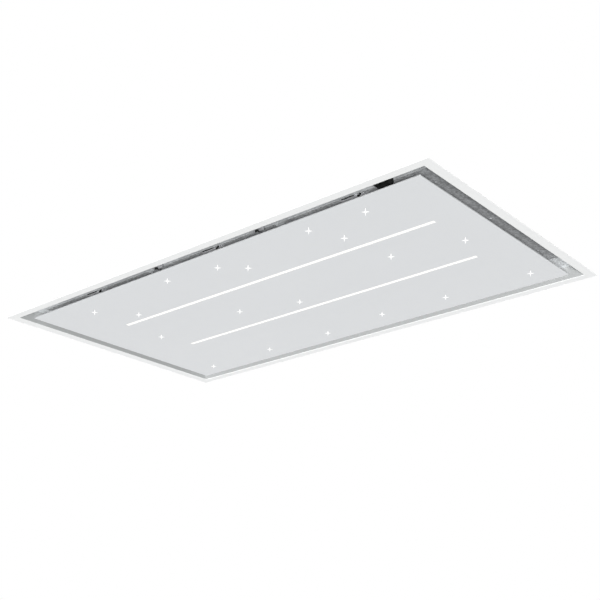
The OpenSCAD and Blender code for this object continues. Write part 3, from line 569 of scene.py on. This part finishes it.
addFloor()
addCeiling()
addWorld()
addSuns()
bpy.context.scene.view_settings.view_transform = "Standard"
print("stage set")


# Frame: a white flange rolled up at its inner edge, and the walls that stand on it, coloured grey as
# painted shade

frameSheet = {
    "thickness": 1.5 * mm,
    "roll": 0.7 * mm,
    "lip": 1.5 * mm,
    "rim": 0.35 * mm,
    "wallCorner": 1.4 * mm,
}


# A flat ring whose inner edge is turned up, as an open sheet that faces down and inwards
def addTurnedRing(name, outerX, outerY, border, low, lip):
    deselectAll()
    bpy.ops.mesh.primitive_plane_add(size=2, location=(0, 0, low))
    ring = bpy.context.object
    ring.name = name
    ring.scale = (outerX, outerY, 1)
    settle(ring)
    pick(ring, "FACE", lambda face: True)
    bpy.ops.mesh.flip_normals()
    bpy.ops.mesh.inset(thickness=border)
    bpy.ops.mesh.delete(type="FACE")
    closeEdit()
    innerX, innerY = outerX - border, outerY - border
    pick(ring, "EDGE", lambda e: onRectangle(e, innerX, innerY, low))
    bpy.ops.mesh.extrude_region_move(TRANSFORM_OT_translate={"value": (0, 0, lip)})
    closeEdit()
    return ring


def onRectangle(edge, halfX, halfY, z):
    place = middle(edge)
    onX = abs(abs(place.x) - halfX) < samePlace and abs(place.y) < halfY
    onY = abs(abs(place.y) - halfY) < samePlace and abs(place.x) < halfX
    return abs(place.z - z) < samePlace and (onX or onY)


# Gives an open sheet its thickness behind the faces that show
def thicken(sheet, thickness):
    return applyModifier(sheet, "SOLIDIFY", thickness=thickness, offset=-1, use_even_offset=True)


def openingHalf():
    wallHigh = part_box("frame_walls")[1]
    return wallHigh.x - frameSheet["thickness"], wallHigh.y - frameSheet["thickness"]


def makeFlange():
    low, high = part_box("frame_flanges")
    innerX, innerY = openingHalf()
    ring = addTurnedRing("frameFlange", high.x, high.y, high.x - innerX, low.z, frameSheet["lip"])
    pick(ring, "EDGE", lambda e: onRectangle(e, innerX, innerY, low.z))
    bpy.ops.mesh.bevel(offset=frameSheet["roll"], segments=5)
    closeEdit()
    thicken(ring, frameSheet["thickness"])
    softenEdges(ring, frameSheet["rim"], 2, 60)
    finishPiece(ring, frameWhite, "frame_flanges")


def makeWalls():
    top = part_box("frame_walls")[1].z
    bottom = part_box("frame_flanges")[0].z + frameSheet["lip"]
    tube = addTube("frameWalls", *openingHalf(), bottom, top)
    pick(tube, "FACE", lambda face: True)
    bpy.ops.mesh.flip_normals()
    closeEdit()
    pick(tube, "EDGE", upright)
    bpy.ops.mesh.bevel(offset=frameSheet["wallCorner"], segments=4)
    closeEdit()
    thicken(tube, frameSheet["thickness"])
    softenEdges(tube, frameSheet["rim"] / 2, 1, 60)
    finishPiece(tube, wallGreyPaintedShade, "frame_walls")


makeFlange()
makeWalls()
print("frame made")


# Panel: a flat sheet hemmed all round, cut for two light strips and the stars

panelSheet = {
    "corner": 2.5 * mm,
    "roll": 0.6 * mm,
    "sharp": 1.0,  # an edge bent by more than this, in radians, is rolled
    "hem": 10 * mm,
    "hemRise": 1.5 * mm,
    "fit": 0.15 * mm,  # gap round each strip and star
    "cutterPast": 5 * mm,
}

lightStrips = {
    "half": 5 * mm,
    "crown": 0.8 * mm,
    "lipLength": 9 * mm,
    "lipWidth": 3 * mm,
    "lipRise": 1.2 * mm,
    "lipEdge": 0.3 * mm,
}

stars = {
    "reach": (7.4 * mm, 16.5 * mm),  # half lengths of the short and the long arms
    "root": (1.2 * mm, 2.6 * mm),
    "tip": (0.3 * mm, 0.7 * mm),
    "upright": (1.69, -2.06),  # every long arm points to here, so it looks upright in the photo's view
    "edge": 0.15 * mm,
    "disc": 18 * mm,
    "discRise": 1.5 * mm,
    "discEdge": 0.3 * mm,
}


# The boxes of a CAD node's separate solids
def solidBoxes(node):
    parts = copyNode(node, "solids", edge=0)
    makeActive(parts)
    bpy.ops.object.mode_set(mode="EDIT")
    bpy.ops.mesh.select_all(action="SELECT")
    bpy.ops.mesh.separate(type="LOOSE")
    closeEdit()
    boxes = []
    for part in list(bpy.context.selected_objects):
        places = [v.co for v in part.data.vertices]
        low = Vector([min(p[i] for p in places) for i in range(3)])
        high = Vector([max(p[i] for p in places) for i in range(3)])
        boxes.append((low, high))
        bpy.data.objects.remove(part)
    return sorted(boxes, key=lambda box: (round(box[0].x, 4), round(box[0].y, 4)))


# A slim plus sign: a small plane whose four edges are drawn out and narrowed
def addStarOutline(name, grow, z):
    root = [half + grow for half in stars["root"]]
    tip = [half + grow for half in stars["tip"]]
    reach = [half + grow for half in stars["reach"]]
    deselectAll()
    bpy.ops.mesh.primitive_plane_add(size=2, location=(0, 0, z))
    star = bpy.context.object
    star.name = name
    star.scale = (root[0], root[1], 1)
    settle(star)
    for axis in (0, 1):
        for side in (-1, 1):
            along = Vector((side, 0, 0)) if axis == 0 else Vector((0, side, 0))
            edge = along * root[axis]
            pick(star, "EDGE", lambda e: (middle(e) - edge - Vector((0, 0, z))).length < samePlace)
            arm = along * (reach[axis] - root[axis])
            bpy.ops.mesh.extrude_region_move(TRANSFORM_OT_translate={"value": arm})
            narrow = tip[1 - axis] / root[1 - axis]
            bpy.ops.transform.resize(
                value=(1, narrow, 1) if axis == 0 else (narrow, 1, 1), center_override=(0, 0, 0),
            )
            closeEdit()
    pick(star, "FACE", lambda face: True)
    bpy.ops.mesh.dissolve_faces()
    closeEdit()
    return star


def raiseOutline(outline, height):
    pick(outline, "FACE", lambda face: True)
    bpy.ops.mesh.extrude_region_move(TRANSFORM_OT_translate={"value": (0, 0, height)})
    bpy.ops.mesh.select_all(action="SELECT")
    bpy.ops.mesh.normals_make_consistent(inside=False)
    closeEdit()
    return outline


def starPlaces():
    return [((low.x + high.x) / 2, (low.y + high.y) / 2, 0) for low, high in solidBoxes("star_boards")]


def starTurns(places):
    towardsX, towardsY = stars["upright"]
    return [math.atan2(towardsX - place[0], place[1] - towardsY) for place in places]


def stripBoxes():
    low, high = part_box("light_diffusers")
    half = lightStrips["half"]
    boxes = []
    for boardLow, boardHigh in solidBoxes("led_boards"):
        y = (boardLow.y + boardHigh.y) / 2
        boxes.append((Vector((boardLow.x, y - half, low.z)), Vector((boardHigh.x, y + half, high.z))))
    return boxes


def makePanel():
    low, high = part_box("panel_face")
    past = Vector((0, 0, panelSheet["cutterPast"]))
    inside = panelSheet["hem"] / 2

    def atRim(edge):
        place = middle(edge)
        return abs(place.x) > high.x - inside or abs(place.y) > high.y - inside

    sheet = addBlock("lightPanel", low, high)
    pick(sheet, "FACE", facesUp)
    bpy.ops.mesh.inset(thickness=panelSheet["hem"])
    bpy.ops.mesh.extrude_region_move(TRANSFORM_OT_translate={"value": (0, 0, -panelSheet["hemRise"])})
    closeEdit()
    pick(sheet, "EDGE", lambda e: upright(e) and atRim(e))
    bpy.ops.mesh.bevel(offset=panelSheet["corner"], segments=6)
    closeEdit()
    cutters = [addBlock("stripCutter", boxLow - past, boxHigh + past) for boxLow, boxHigh in stripBoxes()]
    star = raiseOutline(addStarOutline("starCutter", panelSheet["fit"], low.z - past.z), 2 * past.z)
    places = starPlaces()
    cutters.append(spread("starCutters", star, places, starTurns(places)))
    cutAway(sheet, joinPieces("panelCutters", cutters))
    pick(sheet, "EDGE", lambda e: e.calc_face_angle(0) > panelSheet["sharp"] and atRim(e))
    bpy.ops.mesh.bevel(offset=panelSheet["roll"], segments=3)
    closeEdit()
    applyModifier(sheet, "TRIANGULATE", quad_method="BEAUTY", ngon_method="BEAUTY")
    finishPiece(sheet, panelWhite, "panel_face")


# A lens stands in its cut flush with the panel, on the disc that holds it from behind
def makeStarLenses():
    low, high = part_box("star_lenses")
    star = raiseOutline(addStarOutline("starLens", 0, low.z), high.z - low.z - stars["discRise"] / 2)
    softenEdges(star, stars["edge"], 1)
    disc = addRod("starDisc", (0, 0, high.z - stars["discRise"]), (0, 0, high.z), stars["disc"], 40)
    softenEdges(disc, stars["discEdge"])
    places = starPlaces()
    lenses = spread("starLenses", joinPieces("starLens", [star, disc]), places, starTurns(places))
    finishPiece(lenses, litStar, "star_lenses")


def makeDiffusers():
    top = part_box("light_diffusers")[1].z
    fit = Vector((panelSheet["fit"], panelSheet["fit"], 0))
    lip = Vector((lightStrips["lipLength"], lightStrips["lipWidth"], 0))
    made = []
    for boxLow, boxHigh in stripBoxes():
        bar = addBlock("diffuserBar", boxLow + fit, boxHigh - fit)
        pick(bar, "EDGE", lambda e: abs(middle(e).z - boxLow.z) < samePlace)
        bpy.ops.mesh.bevel(offset=lightStrips["crown"], segments=4)
        closeEdit()
        backLow = Vector((boxLow.x, boxLow.y, top - lightStrips["lipRise"]))
        back = softenEdges(addBlock("diffuserBack", backLow - lip, boxHigh + lip), lightStrips["lipEdge"])
        made += [bar, back]
    finishPiece(joinPieces("lightDiffusers", made), litStrip, "light_diffusers")


makePanel()
makeStarLenses()
makeDiffusers()
print("panel made")


# Grease filters: folded borders, and inside them two layers of expanded mesh over a crumpled one

grease = {
    "edge": 0.35 * mm,
    "tuck": 4 * mm,
    "layers": {  # diamond, strand, and height above the face of the filter
        "front": ((14 * mm, 7 * mm), 1.5 * mm, 1.2 * mm),
        "back": ((22 * mm, 11 * mm), 2.2 * mm, 3.4 * mm),
    },
    "foilRise": 5.2 * mm,
    "foilCell": 7 * mm,
    "foilCrumple": 2.2 * mm,
    "foilSeed": 11,
    "foilThickness": 0.2 * mm,
}


# A square grid is turned on its corner and squashed into diamonds, trimmed, and made into strands
def addMeshLayer(name, low, high, z, cell, strand):
    width, depth = high.x - low.x, high.y - low.y
    count = math.ceil(width / cell[0] + depth / cell[1]) + 2
    deselectAll()
    bpy.ops.mesh.primitive_grid_add(x_subdivisions=count, y_subdivisions=count, size=count)
    layer = bpy.context.object
    layer.name = name
    layer.rotation_euler.z = math.radians(45)
    settle(layer)
    squash = math.sqrt(0.5)
    layer.scale = (cell[0] * squash, cell[1] * squash, 1)
    layer.location = ((low.x + high.x) / 2, (low.y + high.y) / 2, z)
    settle(layer)
    for place, outwards in ((low, (-1, 0, 0)), (low, (0, -1, 0)), (high, (1, 0, 0)), (high, (0, 1, 0))):
        pick(layer, "FACE", lambda face: True)
        bpy.ops.mesh.bisect(plane_co=(place.x, place.y, z), plane_no=outwards, clear_outer=True)
        closeEdit()
    return applyModifier(layer, "WIREFRAME", thickness=strand, use_boundary=True, use_even_offset=False)


def addFoil(name, low, high, z):
    width, depth = high.x - low.x, high.y - low.y
    columns, rows = int(width / grease["foilCell"]), int(depth / grease["foilCell"])
    deselectAll()
    bpy.ops.mesh.primitive_grid_add(
        x_subdivisions=columns, y_subdivisions=rows, size=1,
        location=((low.x + high.x) / 2, (low.y + high.y) / 2, z),
    )
    foil = bpy.context.object
    foil.name = name
    foil.scale = (width, depth, 1)
    settle(foil)
    pick(foil, "VERT", lambda v: True)
    bpy.ops.transform.vertex_random(offset=grease["foilCrumple"], seed=grease["foilSeed"])
    closeEdit()
    return applyModifier(foil, "SOLIDIFY", thickness=grease["foilThickness"], offset=0)


def makeFilter(side):
    node = "filter_frame_" + side
    border = copyNode(node, "filterBorder" + side.capitalize(), grease["edge"])
    finishPiece(border, filterAlloy, node)
    low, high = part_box("filter_mesh_" + side)
    tuck = Vector((grease["tuck"], grease["tuck"], 0)) / 2
    made = [
        addMeshLayer(layer + "Layer", low + tuck, high - tuck, low.z + rise, cell, strand)
        for layer, (cell, strand, rise) in grease["layers"].items()
    ]
    made.append(addFoil("foilLayer", low + tuck, high - tuck, low.z + grease["foilRise"]))
    finishPiece(joinPieces("filterMesh" + side.capitalize(), made), meshAlloy, "filter_mesh_" + side, 50)


latchPlate = {
    "edge": 0.45 * mm,
    "slot": (14 * mm, 2.4 * mm),
    "slotPlace": (-15 * mm, 5 * mm),
    "slotDepth": 0.9 * mm,
    "grip": (-23 * mm, 8 * mm),  # the two ends of the black bar, painted shade, from the latch's middle
    "shadeBarIn": (0.6 * mm, 2.8 * mm),
    "shadeBarDrop": 1.5 * mm,
    "shadeBarEdge": 0.5 * mm,
    "knobs": ((15 * mm, 7.5 * mm, 2.8 * mm), (22 * mm, 3.4 * mm, 2.2 * mm)),  # place and radius
    "knobDrop": 2.4 * mm,
    "knobEdge": 0.7 * mm,
    "sunk": 0.3 * mm,  # the black bar and the knobs go into the plate by this much
}


def makeLatch(side):
    node = "filter_latch_" + side
    low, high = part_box(node)
    plate = copyNode(node, "filterLatch" + side.capitalize(), latchPlate["edge"])
    x = (low.x + high.x) / 2 + latchPlate["slotPlace"][0]
    y = low.y + latchPlate["slotPlace"][1]
    halfX, halfY = latchPlate["slot"][0] / 2, latchPlate["slot"][1] / 2
    slot = addBlock("latchSlot", (x - halfX, y - halfY, low.z - cutterPast),
                    (x + halfX, y + halfY, low.z + latchPlate["slotDepth"]))
    cutAway(plate, slot)
    finishPiece(plate, latchSteel, node)
    addLatchShadeBarAndKnobs(side, (low.x + high.x) / 2, low)


# A black bar under the plate, painted shade for the shadow line beside the latch, and two knobs; they slide
# with the plate
def addLatchShadeBarAndKnobs(side, x, low):
    startX, endX = latchPlate["grip"]
    nearY, farY = latchPlate["shadeBarIn"]
    grip = addBlock("latchShadeBarAndKnobs", (x + startX, low.y + nearY, low.z - latchPlate["shadeBarDrop"]),
                    (x + endX, low.y + farY, low.z + latchPlate["sunk"]))
    made = [softenEdges(grip, latchPlate["shadeBarEdge"], 3)]
    for knobX, knobIn, radius in latchPlate["knobs"]:
        place = Vector((x + knobX, low.y + knobIn, low.z))
        top = place + Vector((0, 0, latchPlate["sunk"]))
        knob = addRod("latchKnob", place - Vector((0, 0, latchPlate["knobDrop"])), top, radius, 24)
        made.append(softenEdges(knob, latchPlate["knobEdge"], 3))
    body = bodyOf["filter_latch_" + side]
    dressPiece(joinPieces("latchShadeBarAndKnobs" + side.capitalize(), made), blackPlastic, body)


for side in ("left", "centre", "right"):
    makeFilter(side)
    makeLatch(side)
print("filters made")


# Receiver: a black block with one rounded corner, a slanted end and a shallow window

receiver = {
    "edge": 1.0 * mm,
    "shoulder": 15 * mm,  # the rounded corner
    "cutIn": 6 * mm,
    "cutFacing": (-0.64, 0, -0.77),  # the slanted end
    "window": (9 * mm, 6 * mm),
    "windowIn": 15 * mm,
    "windowDepth": 0.5 * mm,
    "windowEdge": 0.8 * mm,
}


def makeReceiver():
    low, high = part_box("remote_receiver")
    block = copyNode("remote_receiver", "remoteReceiver", 0)
    pick(block, "EDGE", lambda e: upright(e) and (middle(e).xy - low.xy).length < 1 * mm)
    bpy.ops.mesh.bevel(offset=receiver["shoulder"], segments=8)
    closeEdit()
    pick(block, "FACE", lambda face: True)
    bpy.ops.mesh.bisect(plane_co=(low.x + receiver["cutIn"], low.y, low.z), plane_no=receiver["cutFacing"],
                        use_fill=True, clear_outer=True)
    closeEdit()
    softenEdges(block, receiver["edge"], 3)
    x = low.x + receiver["windowIn"]
    y = (low.y + high.y) / 2
    halfX, halfY = receiver["window"][0] / 2, receiver["window"][1] / 2
    dish = addBlock("windowDish", (x - halfX, y - halfY, low.z - cutterPast),
                    (x + halfX, y + halfY, low.z + receiver["windowDepth"]))
    cutAway(block, softenEdges(dish, receiver["windowEdge"], 3))
    finishPiece(block, blackPlastic, "remote_receiver")


makeReceiver()
print("receiver made")


# Pressed work: beads that stiffen a sheet, and the domes of its rivets

pressed = {
    "sunk": 0.4 * mm,  # into the sheet that carries it
    "beadRise": 3 * mm,
    "beadCorner": 0.48,  # share of the bead's width
    "beadRoundness": 2.2,  # shares of the rise
    "padRoundness": 0.7,
    "rivetRadius": 3 * mm,
    "rivetRise": 1.3 * mm,
    "rivetRoundness": 0.8,
}


def addPad(length, width, rise, corner, roundness=pressed["padRoundness"]):
    pad = addBlock("pad", (-length / 2, -width / 2, -pressed["sunk"]), (length / 2, width / 2, rise))
    pick(pad, "EDGE", upright)
    bpy.ops.mesh.bevel(offset=corner, segments=8)
    closeEdit()
    pick(pad, "EDGE", lambda e: min(v.co.z for v in e.verts) > rise / 2)
    bpy.ops.mesh.bevel(offset=rise * roundness, segments=5)
    closeEdit()
    return pad


def addBeads(length, width, places, turn=0.0, side=(0, 0, 1)):
    corner = width * pressed["beadCorner"]
    bead = addPad(length, width, pressed["beadRise"], corner, pressed["beadRoundness"])
    return spread("beads", bead, places, turn, side)


def addRivets(places, side, radius=pressed["rivetRadius"]):
    rise = pressed["rivetRise"]
    rivet = addRod("rivet", (0, 0, -pressed["sunk"]), (0, 0, rise), radius, 20)
    pick(rivet, "EDGE", lambda e: min(v.co.z for v in e.verts) > rise / 2)
    bpy.ops.mesh.bevel(offset=rise * pressed["rivetRoundness"], segments=3)
    closeEdit()
    return spread("rivets", rivet, places, side=side)


# Each place and its mirror image across x = 0
def bothWays(*places):
    return [(side * x, y, z) for x, y, z in places for side in (-1, 1)]


# Casing: beaded sheets, riveted at their corners

casing = {
    "edge": 0.3 * mm,
    "beadWidth": 26 * mm,
    "lipDrop": 13 * mm,  # the top sheet is folded down over the sides
    "lipThickness": 1 * mm,
    "lipSunk": 0.2 * mm,  # into the sides
    "lipEdge": 0.3 * mm,
    "sideBead": 230 * mm,
    "sideBeadsX": (145 * mm, 435 * mm),
    "endBead": 240 * mm,
    "endBeadY": 158 * mm,
    "beadHeight": 0.62,  # share of the sheet's height
    "topBead": 270 * mm,
    "topBeadX": 395 * mm,
    "leftBeadsY": (-200 * mm, -100 * mm, 0, 100 * mm, 200 * mm),
    "rightBeadsY": (-200 * mm, 120 * mm, 200 * mm),
    "middleBead": 400 * mm,
    "middleBeadY": 245 * mm,
    "crossBead": 150 * mm,
    "crossBeadX": 505 * mm,
    "rivetIn": 9 * mm,
    "rivetHeights": (45 * mm, 70 * mm, 95 * mm),
}


# The folded-down rim of the top, a closed band with its inner face just inside the sides' outer face
def addCasingLip(high):
    halfX, halfY = high.x - casing["lipSunk"], high.y - casing["lipSunk"]
    band = addTube("casingLip", halfX, halfY, high.z - casing["lipDrop"], high.z)
    applyModifier(band, "SOLIDIFY", thickness=casing["lipThickness"], offset=1, use_even_offset=True)
    return softenEdges(band, casing["lipEdge"])


def makeCasingTop():
    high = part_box("casing_top")[1]
    x, z = casing["topBeadX"], high.z
    width = casing["beadWidth"]
    left = [(-x, y, z) for y in casing["leftBeadsY"]]
    right = [(x, y, z) for y in casing["rightBeadsY"]]
    centre = [(0, side * casing["middleBeadY"], z) for side in (-1, 1)]
    made = [
        copyNode("casing_top", "casingTop", casing["edge"]),
        addCasingLip(high),
        addBeads(casing["topBead"], width, left + right),
        addBeads(casing["middleBead"], width, centre),
        addBeads(casing["crossBead"], width, [(casing["crossBeadX"], 0, z)], math.radians(90)),
    ]
    finishPiece(joinPieces("casingTop", made), galvanised, "casing_top")


def makeCasingSides():
    low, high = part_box("casing_sides")
    z = low.z + (high.z - low.z) * casing["beadHeight"]
    made = [copyNode("casing_sides", "casingSides", casing["edge"])]
    for side in (-1, 1):
        y = side * high.y
        beads = bothWays(*[(x, y, z) for x in casing["sideBeadsX"]])
        rivets = bothWays(*[(high.x - casing["rivetIn"], y, h) for h in casing["rivetHeights"]])
        made.append(addBeads(casing["sideBead"], casing["beadWidth"], beads, side=(0, side, 0)))
        made.append(addRivets(rivets, (0, side, 0)))
    finishPiece(joinPieces("casingSides", made), galvanised, "casing_sides")


def makeCasingEnds():
    low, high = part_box("casing_ends")
    z = low.z + (high.z - low.z) * casing["beadHeight"]
    made = [copyNode("casing_ends", "casingEnds", casing["edge"])]
    for side in (-1, 1):
        x = side * high.x
        beads = [(x, y, z) for y in (-casing["endBeadY"], casing["endBeadY"])]
        rivetY = high.y - casing["rivetIn"]
        rivets = [(x, way * rivetY, h) for h in casing["rivetHeights"] for way in (-1, 1)]
        made.append(addBeads(casing["endBead"], casing["beadWidth"], beads, side=(side, 0, 0)))
        made.append(addRivets(rivets, (side, 0, 0)))
    finishPiece(joinPieces("casingEnds", made), galvanised, "casing_ends")


makeCasingTop()
makeCasingSides()
makeCasingEnds()
print("casing made")


# Blower box and its outlet

blower = {
    "edge": 0.3 * mm,
    "beadWidth": 22 * mm,
    "backBead": 300 * mm,
    "endBead": 250 * mm,
    "beadHeights": (170 * mm, 252 * mm),
    "outletBead": 130 * mm,
    "outletBeadX": 148 * mm,
    "rivetIn": 8 * mm,
    "rivetRadius": 2.6 * mm,
    "rivetHeights": [(126 + 34 * i) * mm for i in range(6)],
    "panIn": 18 * mm,
    "panCorner": 16 * mm,
    "panDepth": 0.6 * mm,
    "cutterPast": 2 * mm,
    "collarBead": 1.3 * mm,  # a third of it is sunk into the collar
    "collarBeadsIn": (9 * mm, 17 * mm),
}


def makeBlowerSides():
    low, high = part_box("blower_box_sides")
    x = high.x - blower["rivetIn"]
    outletZ = (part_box("outlet_collar")[0].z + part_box("outlet_collar")[1].z) / 2
    made = [copyNode("blower_box_sides", "blowerBoxSides", blower["edge"])]
    backs = [(0, low.y, z) for z in blower["beadHeights"]]
    made.append(addBeads(blower["backBead"], blower["beadWidth"], backs, side=(0, -1, 0)))
    beside = bothWays((blower["outletBeadX"], high.y, outletZ))
    made.append(addBeads(blower["outletBead"], blower["beadWidth"], beside, math.radians(90), (0, 1, 0)))
    for side in (-1, 1):
        rivets = bothWays(*[(x, side * high.y, z) for z in blower["rivetHeights"]])
        made.append(addRivets(rivets, (0, side, 0), blower["rivetRadius"]))
    finishPiece(joinPieces("blowerBoxSides", made), galvanised, "blower_box_sides")


def makeBlowerEnds():
    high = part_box("blower_box_ends")[1]
    made = [copyNode("blower_box_ends", "blowerBoxEnds", blower["edge"])]
    for side in (-1, 1):
        beads = [(side * high.x, 0, z) for z in blower["beadHeights"]]
        made.append(addBeads(blower["endBead"], blower["beadWidth"], beads, side=(side, 0, 0)))
    finishPiece(joinPieces("blowerBoxEnds", made), galvanised, "blower_box_ends")


# The lid of the box is pressed down a little inside its rim
def makeBlowerTop():
    low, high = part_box("blower_box_top")
    inside = Vector((blower["panIn"], blower["panIn"], 0))
    pan = addBlock("pan", low + inside + Vector((0, 0, high.z - low.z - blower["panDepth"])),
                   high - inside + Vector((0, 0, blower["cutterPast"])))
    pick(pan, "EDGE", upright)
    bpy.ops.mesh.bevel(offset=blower["panCorner"], segments=8)
    closeEdit()
    lid = cutAway(copyNode("blower_box_top", "blowerBoxTop", 0), pan)
    softenEdges(lid, blower["edge"] / 2)
    finishPiece(lid, galvanised, "blower_box_top")


def makeCollar():
    low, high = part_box("outlet_collar")
    z = (low.z + high.z) / 2
    collar = copyNode("outlet_collar", "outletCollar", blower["edge"])
    mouth = [v.co for v in collar.data.vertices if v.co.y > high.y - 1 * mm]
    radius = max((place - Vector((0, place.y, z))).length for place in mouth)
    made = [collar]
    for inwards in blower["collarBeadsIn"]:
        deselectAll()
        bpy.ops.mesh.primitive_torus_add(
            major_radius=radius - blower["collarBead"] / 3, minor_radius=blower["collarBead"],
            major_segments=96, minor_segments=12,
            location=(0, high.y - inwards, z), rotation=(math.radians(90), 0, 0),
        )
        made.append(settle(bpy.context.object))
    finishPiece(joinPieces("outletCollar", made), galvanised, "outlet_collar")


makeBlowerSides()
makeBlowerEnds()
makeBlowerTop()
makeCollar()
print("blower box made")


# Control box lid, with a raised middle and a row of louvres

control = {
    "edge": 0.4 * mm,
    "padIn": 20 * mm,
    "padCorner": 10 * mm,
    "padRise": 0.9 * mm,
    "louvre": (44 * mm, 4 * mm),
    "louvreRise": 1.8 * mm,
    "louvreCorner": 1.8 * mm,
    "louvreStep": 9 * mm,
    "louvres": 7,
}


def makeControlLid():
    low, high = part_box("control_box_lid")
    x, y = (low.x + high.x) / 2, (low.y + high.y) / 2
    length = high.x - low.x - 2 * control["padIn"]
    width = high.y - low.y - 2 * control["padIn"]
    pad = addPad(length, width, control["padRise"], control["padCorner"])
    louvre = addPad(*control["louvre"], control["louvreRise"], control["louvreCorner"])
    count, step = control["louvres"], control["louvreStep"]
    first = x - (count - 1) / 2 * step
    row = [(first + i * step, y, high.z + control["padRise"]) for i in range(count)]
    made = [
        copyNode("control_box_lid", "controlBoxLid", control["edge"]),
        spread("pad", pad, [(x, y, high.z)]),
        spread("louvres", louvre, row, math.radians(90)),
    ]
    finishPiece(joinPieces("controlBoxLid", made), galvanised, "control_box_lid")


makeControlLid()
print("control box lid made")


# Pieces whose CAD shape is right get rounded edges, of the width given here in millimetres

roundedNodes = {
    "frame_screws": (platedSteel, 0.3),
    "ceiling_gasket": (gasketFoam, 0.2),
    "deck_rails": (deckZinc, 0.25),
    "deck_crossbars": (deckZinc, 0.25),
    "hinge_brackets": (platedSteel, 0.3),
    "hinge_pins": (platedSteel, 0.3),
    "hinge_arms": (platedSteel, 0.3),
    "strike_posts": (platedSteel, 0.4),
    "panel_fasteners": (platedSteel, 0.25),
    "panel_stiffeners": (galvanised, 0.25),
    "light_profiles": (lightAlloy, 0.3),
    "light_driver": (whitePlastic, 1.2),
    "hanger_brackets": (galvanised, 0.4),
    "catch_bodies": (latchSteel, 0.5),
    "catch_plunger_left": (blackPlastic, 0.2),
    "catch_plunger_right": (blackPlastic, 0.2),
    "control_box": (galvanised, 0.3),
    "control_box_screws": (platedSteel, 0.25),
    "cable_gland": (blackPlastic, 0.5),
    "flap_left": (blackPlastic, 0.25),
    "flap_right": (blackPlastic, 0.25),
    "blower_motor": (motorBlack, 1.2),
    "motor_capacitor": (whitePlastic, 1.0),
    "terminal_block": (whitePlastic, 0.4),
}


def pieceName(node):
    first, *rest = node.split("_")
    return first + "".join(word.capitalize() for word in rest)


for node, (material, edge) in roundedNodes.items():
    finishPiece(copyNode(node, pieceName(node), edge * mm), material, node)
print("rounded pieces made")


# Inner pieces and circuit boards keep their CAD mesh

innerNodes = {
    "casing_corners": galvanised,
    "scroll_housing": galvanised,
    "inlet_rings": platedSteel,
    "blower_blocks": blackRubber,
    "motor_bracket": platedSteel,
    "motor_mounts": blackRubber,
    "impeller": blackPlastic,
    "impeller_shaft": platedSteel,
    "flap_pin": platedSteel,
    "control_board": greenBoard,
    "led_boards": greenBoard,
    "star_boards": greenBoard,
}

for node, material in innerNodes.items():
    mesh = frame["nodes"][node].data
    mesh.materials.clear()
    mesh.materials.append(material)
print("inner pieces dressed")
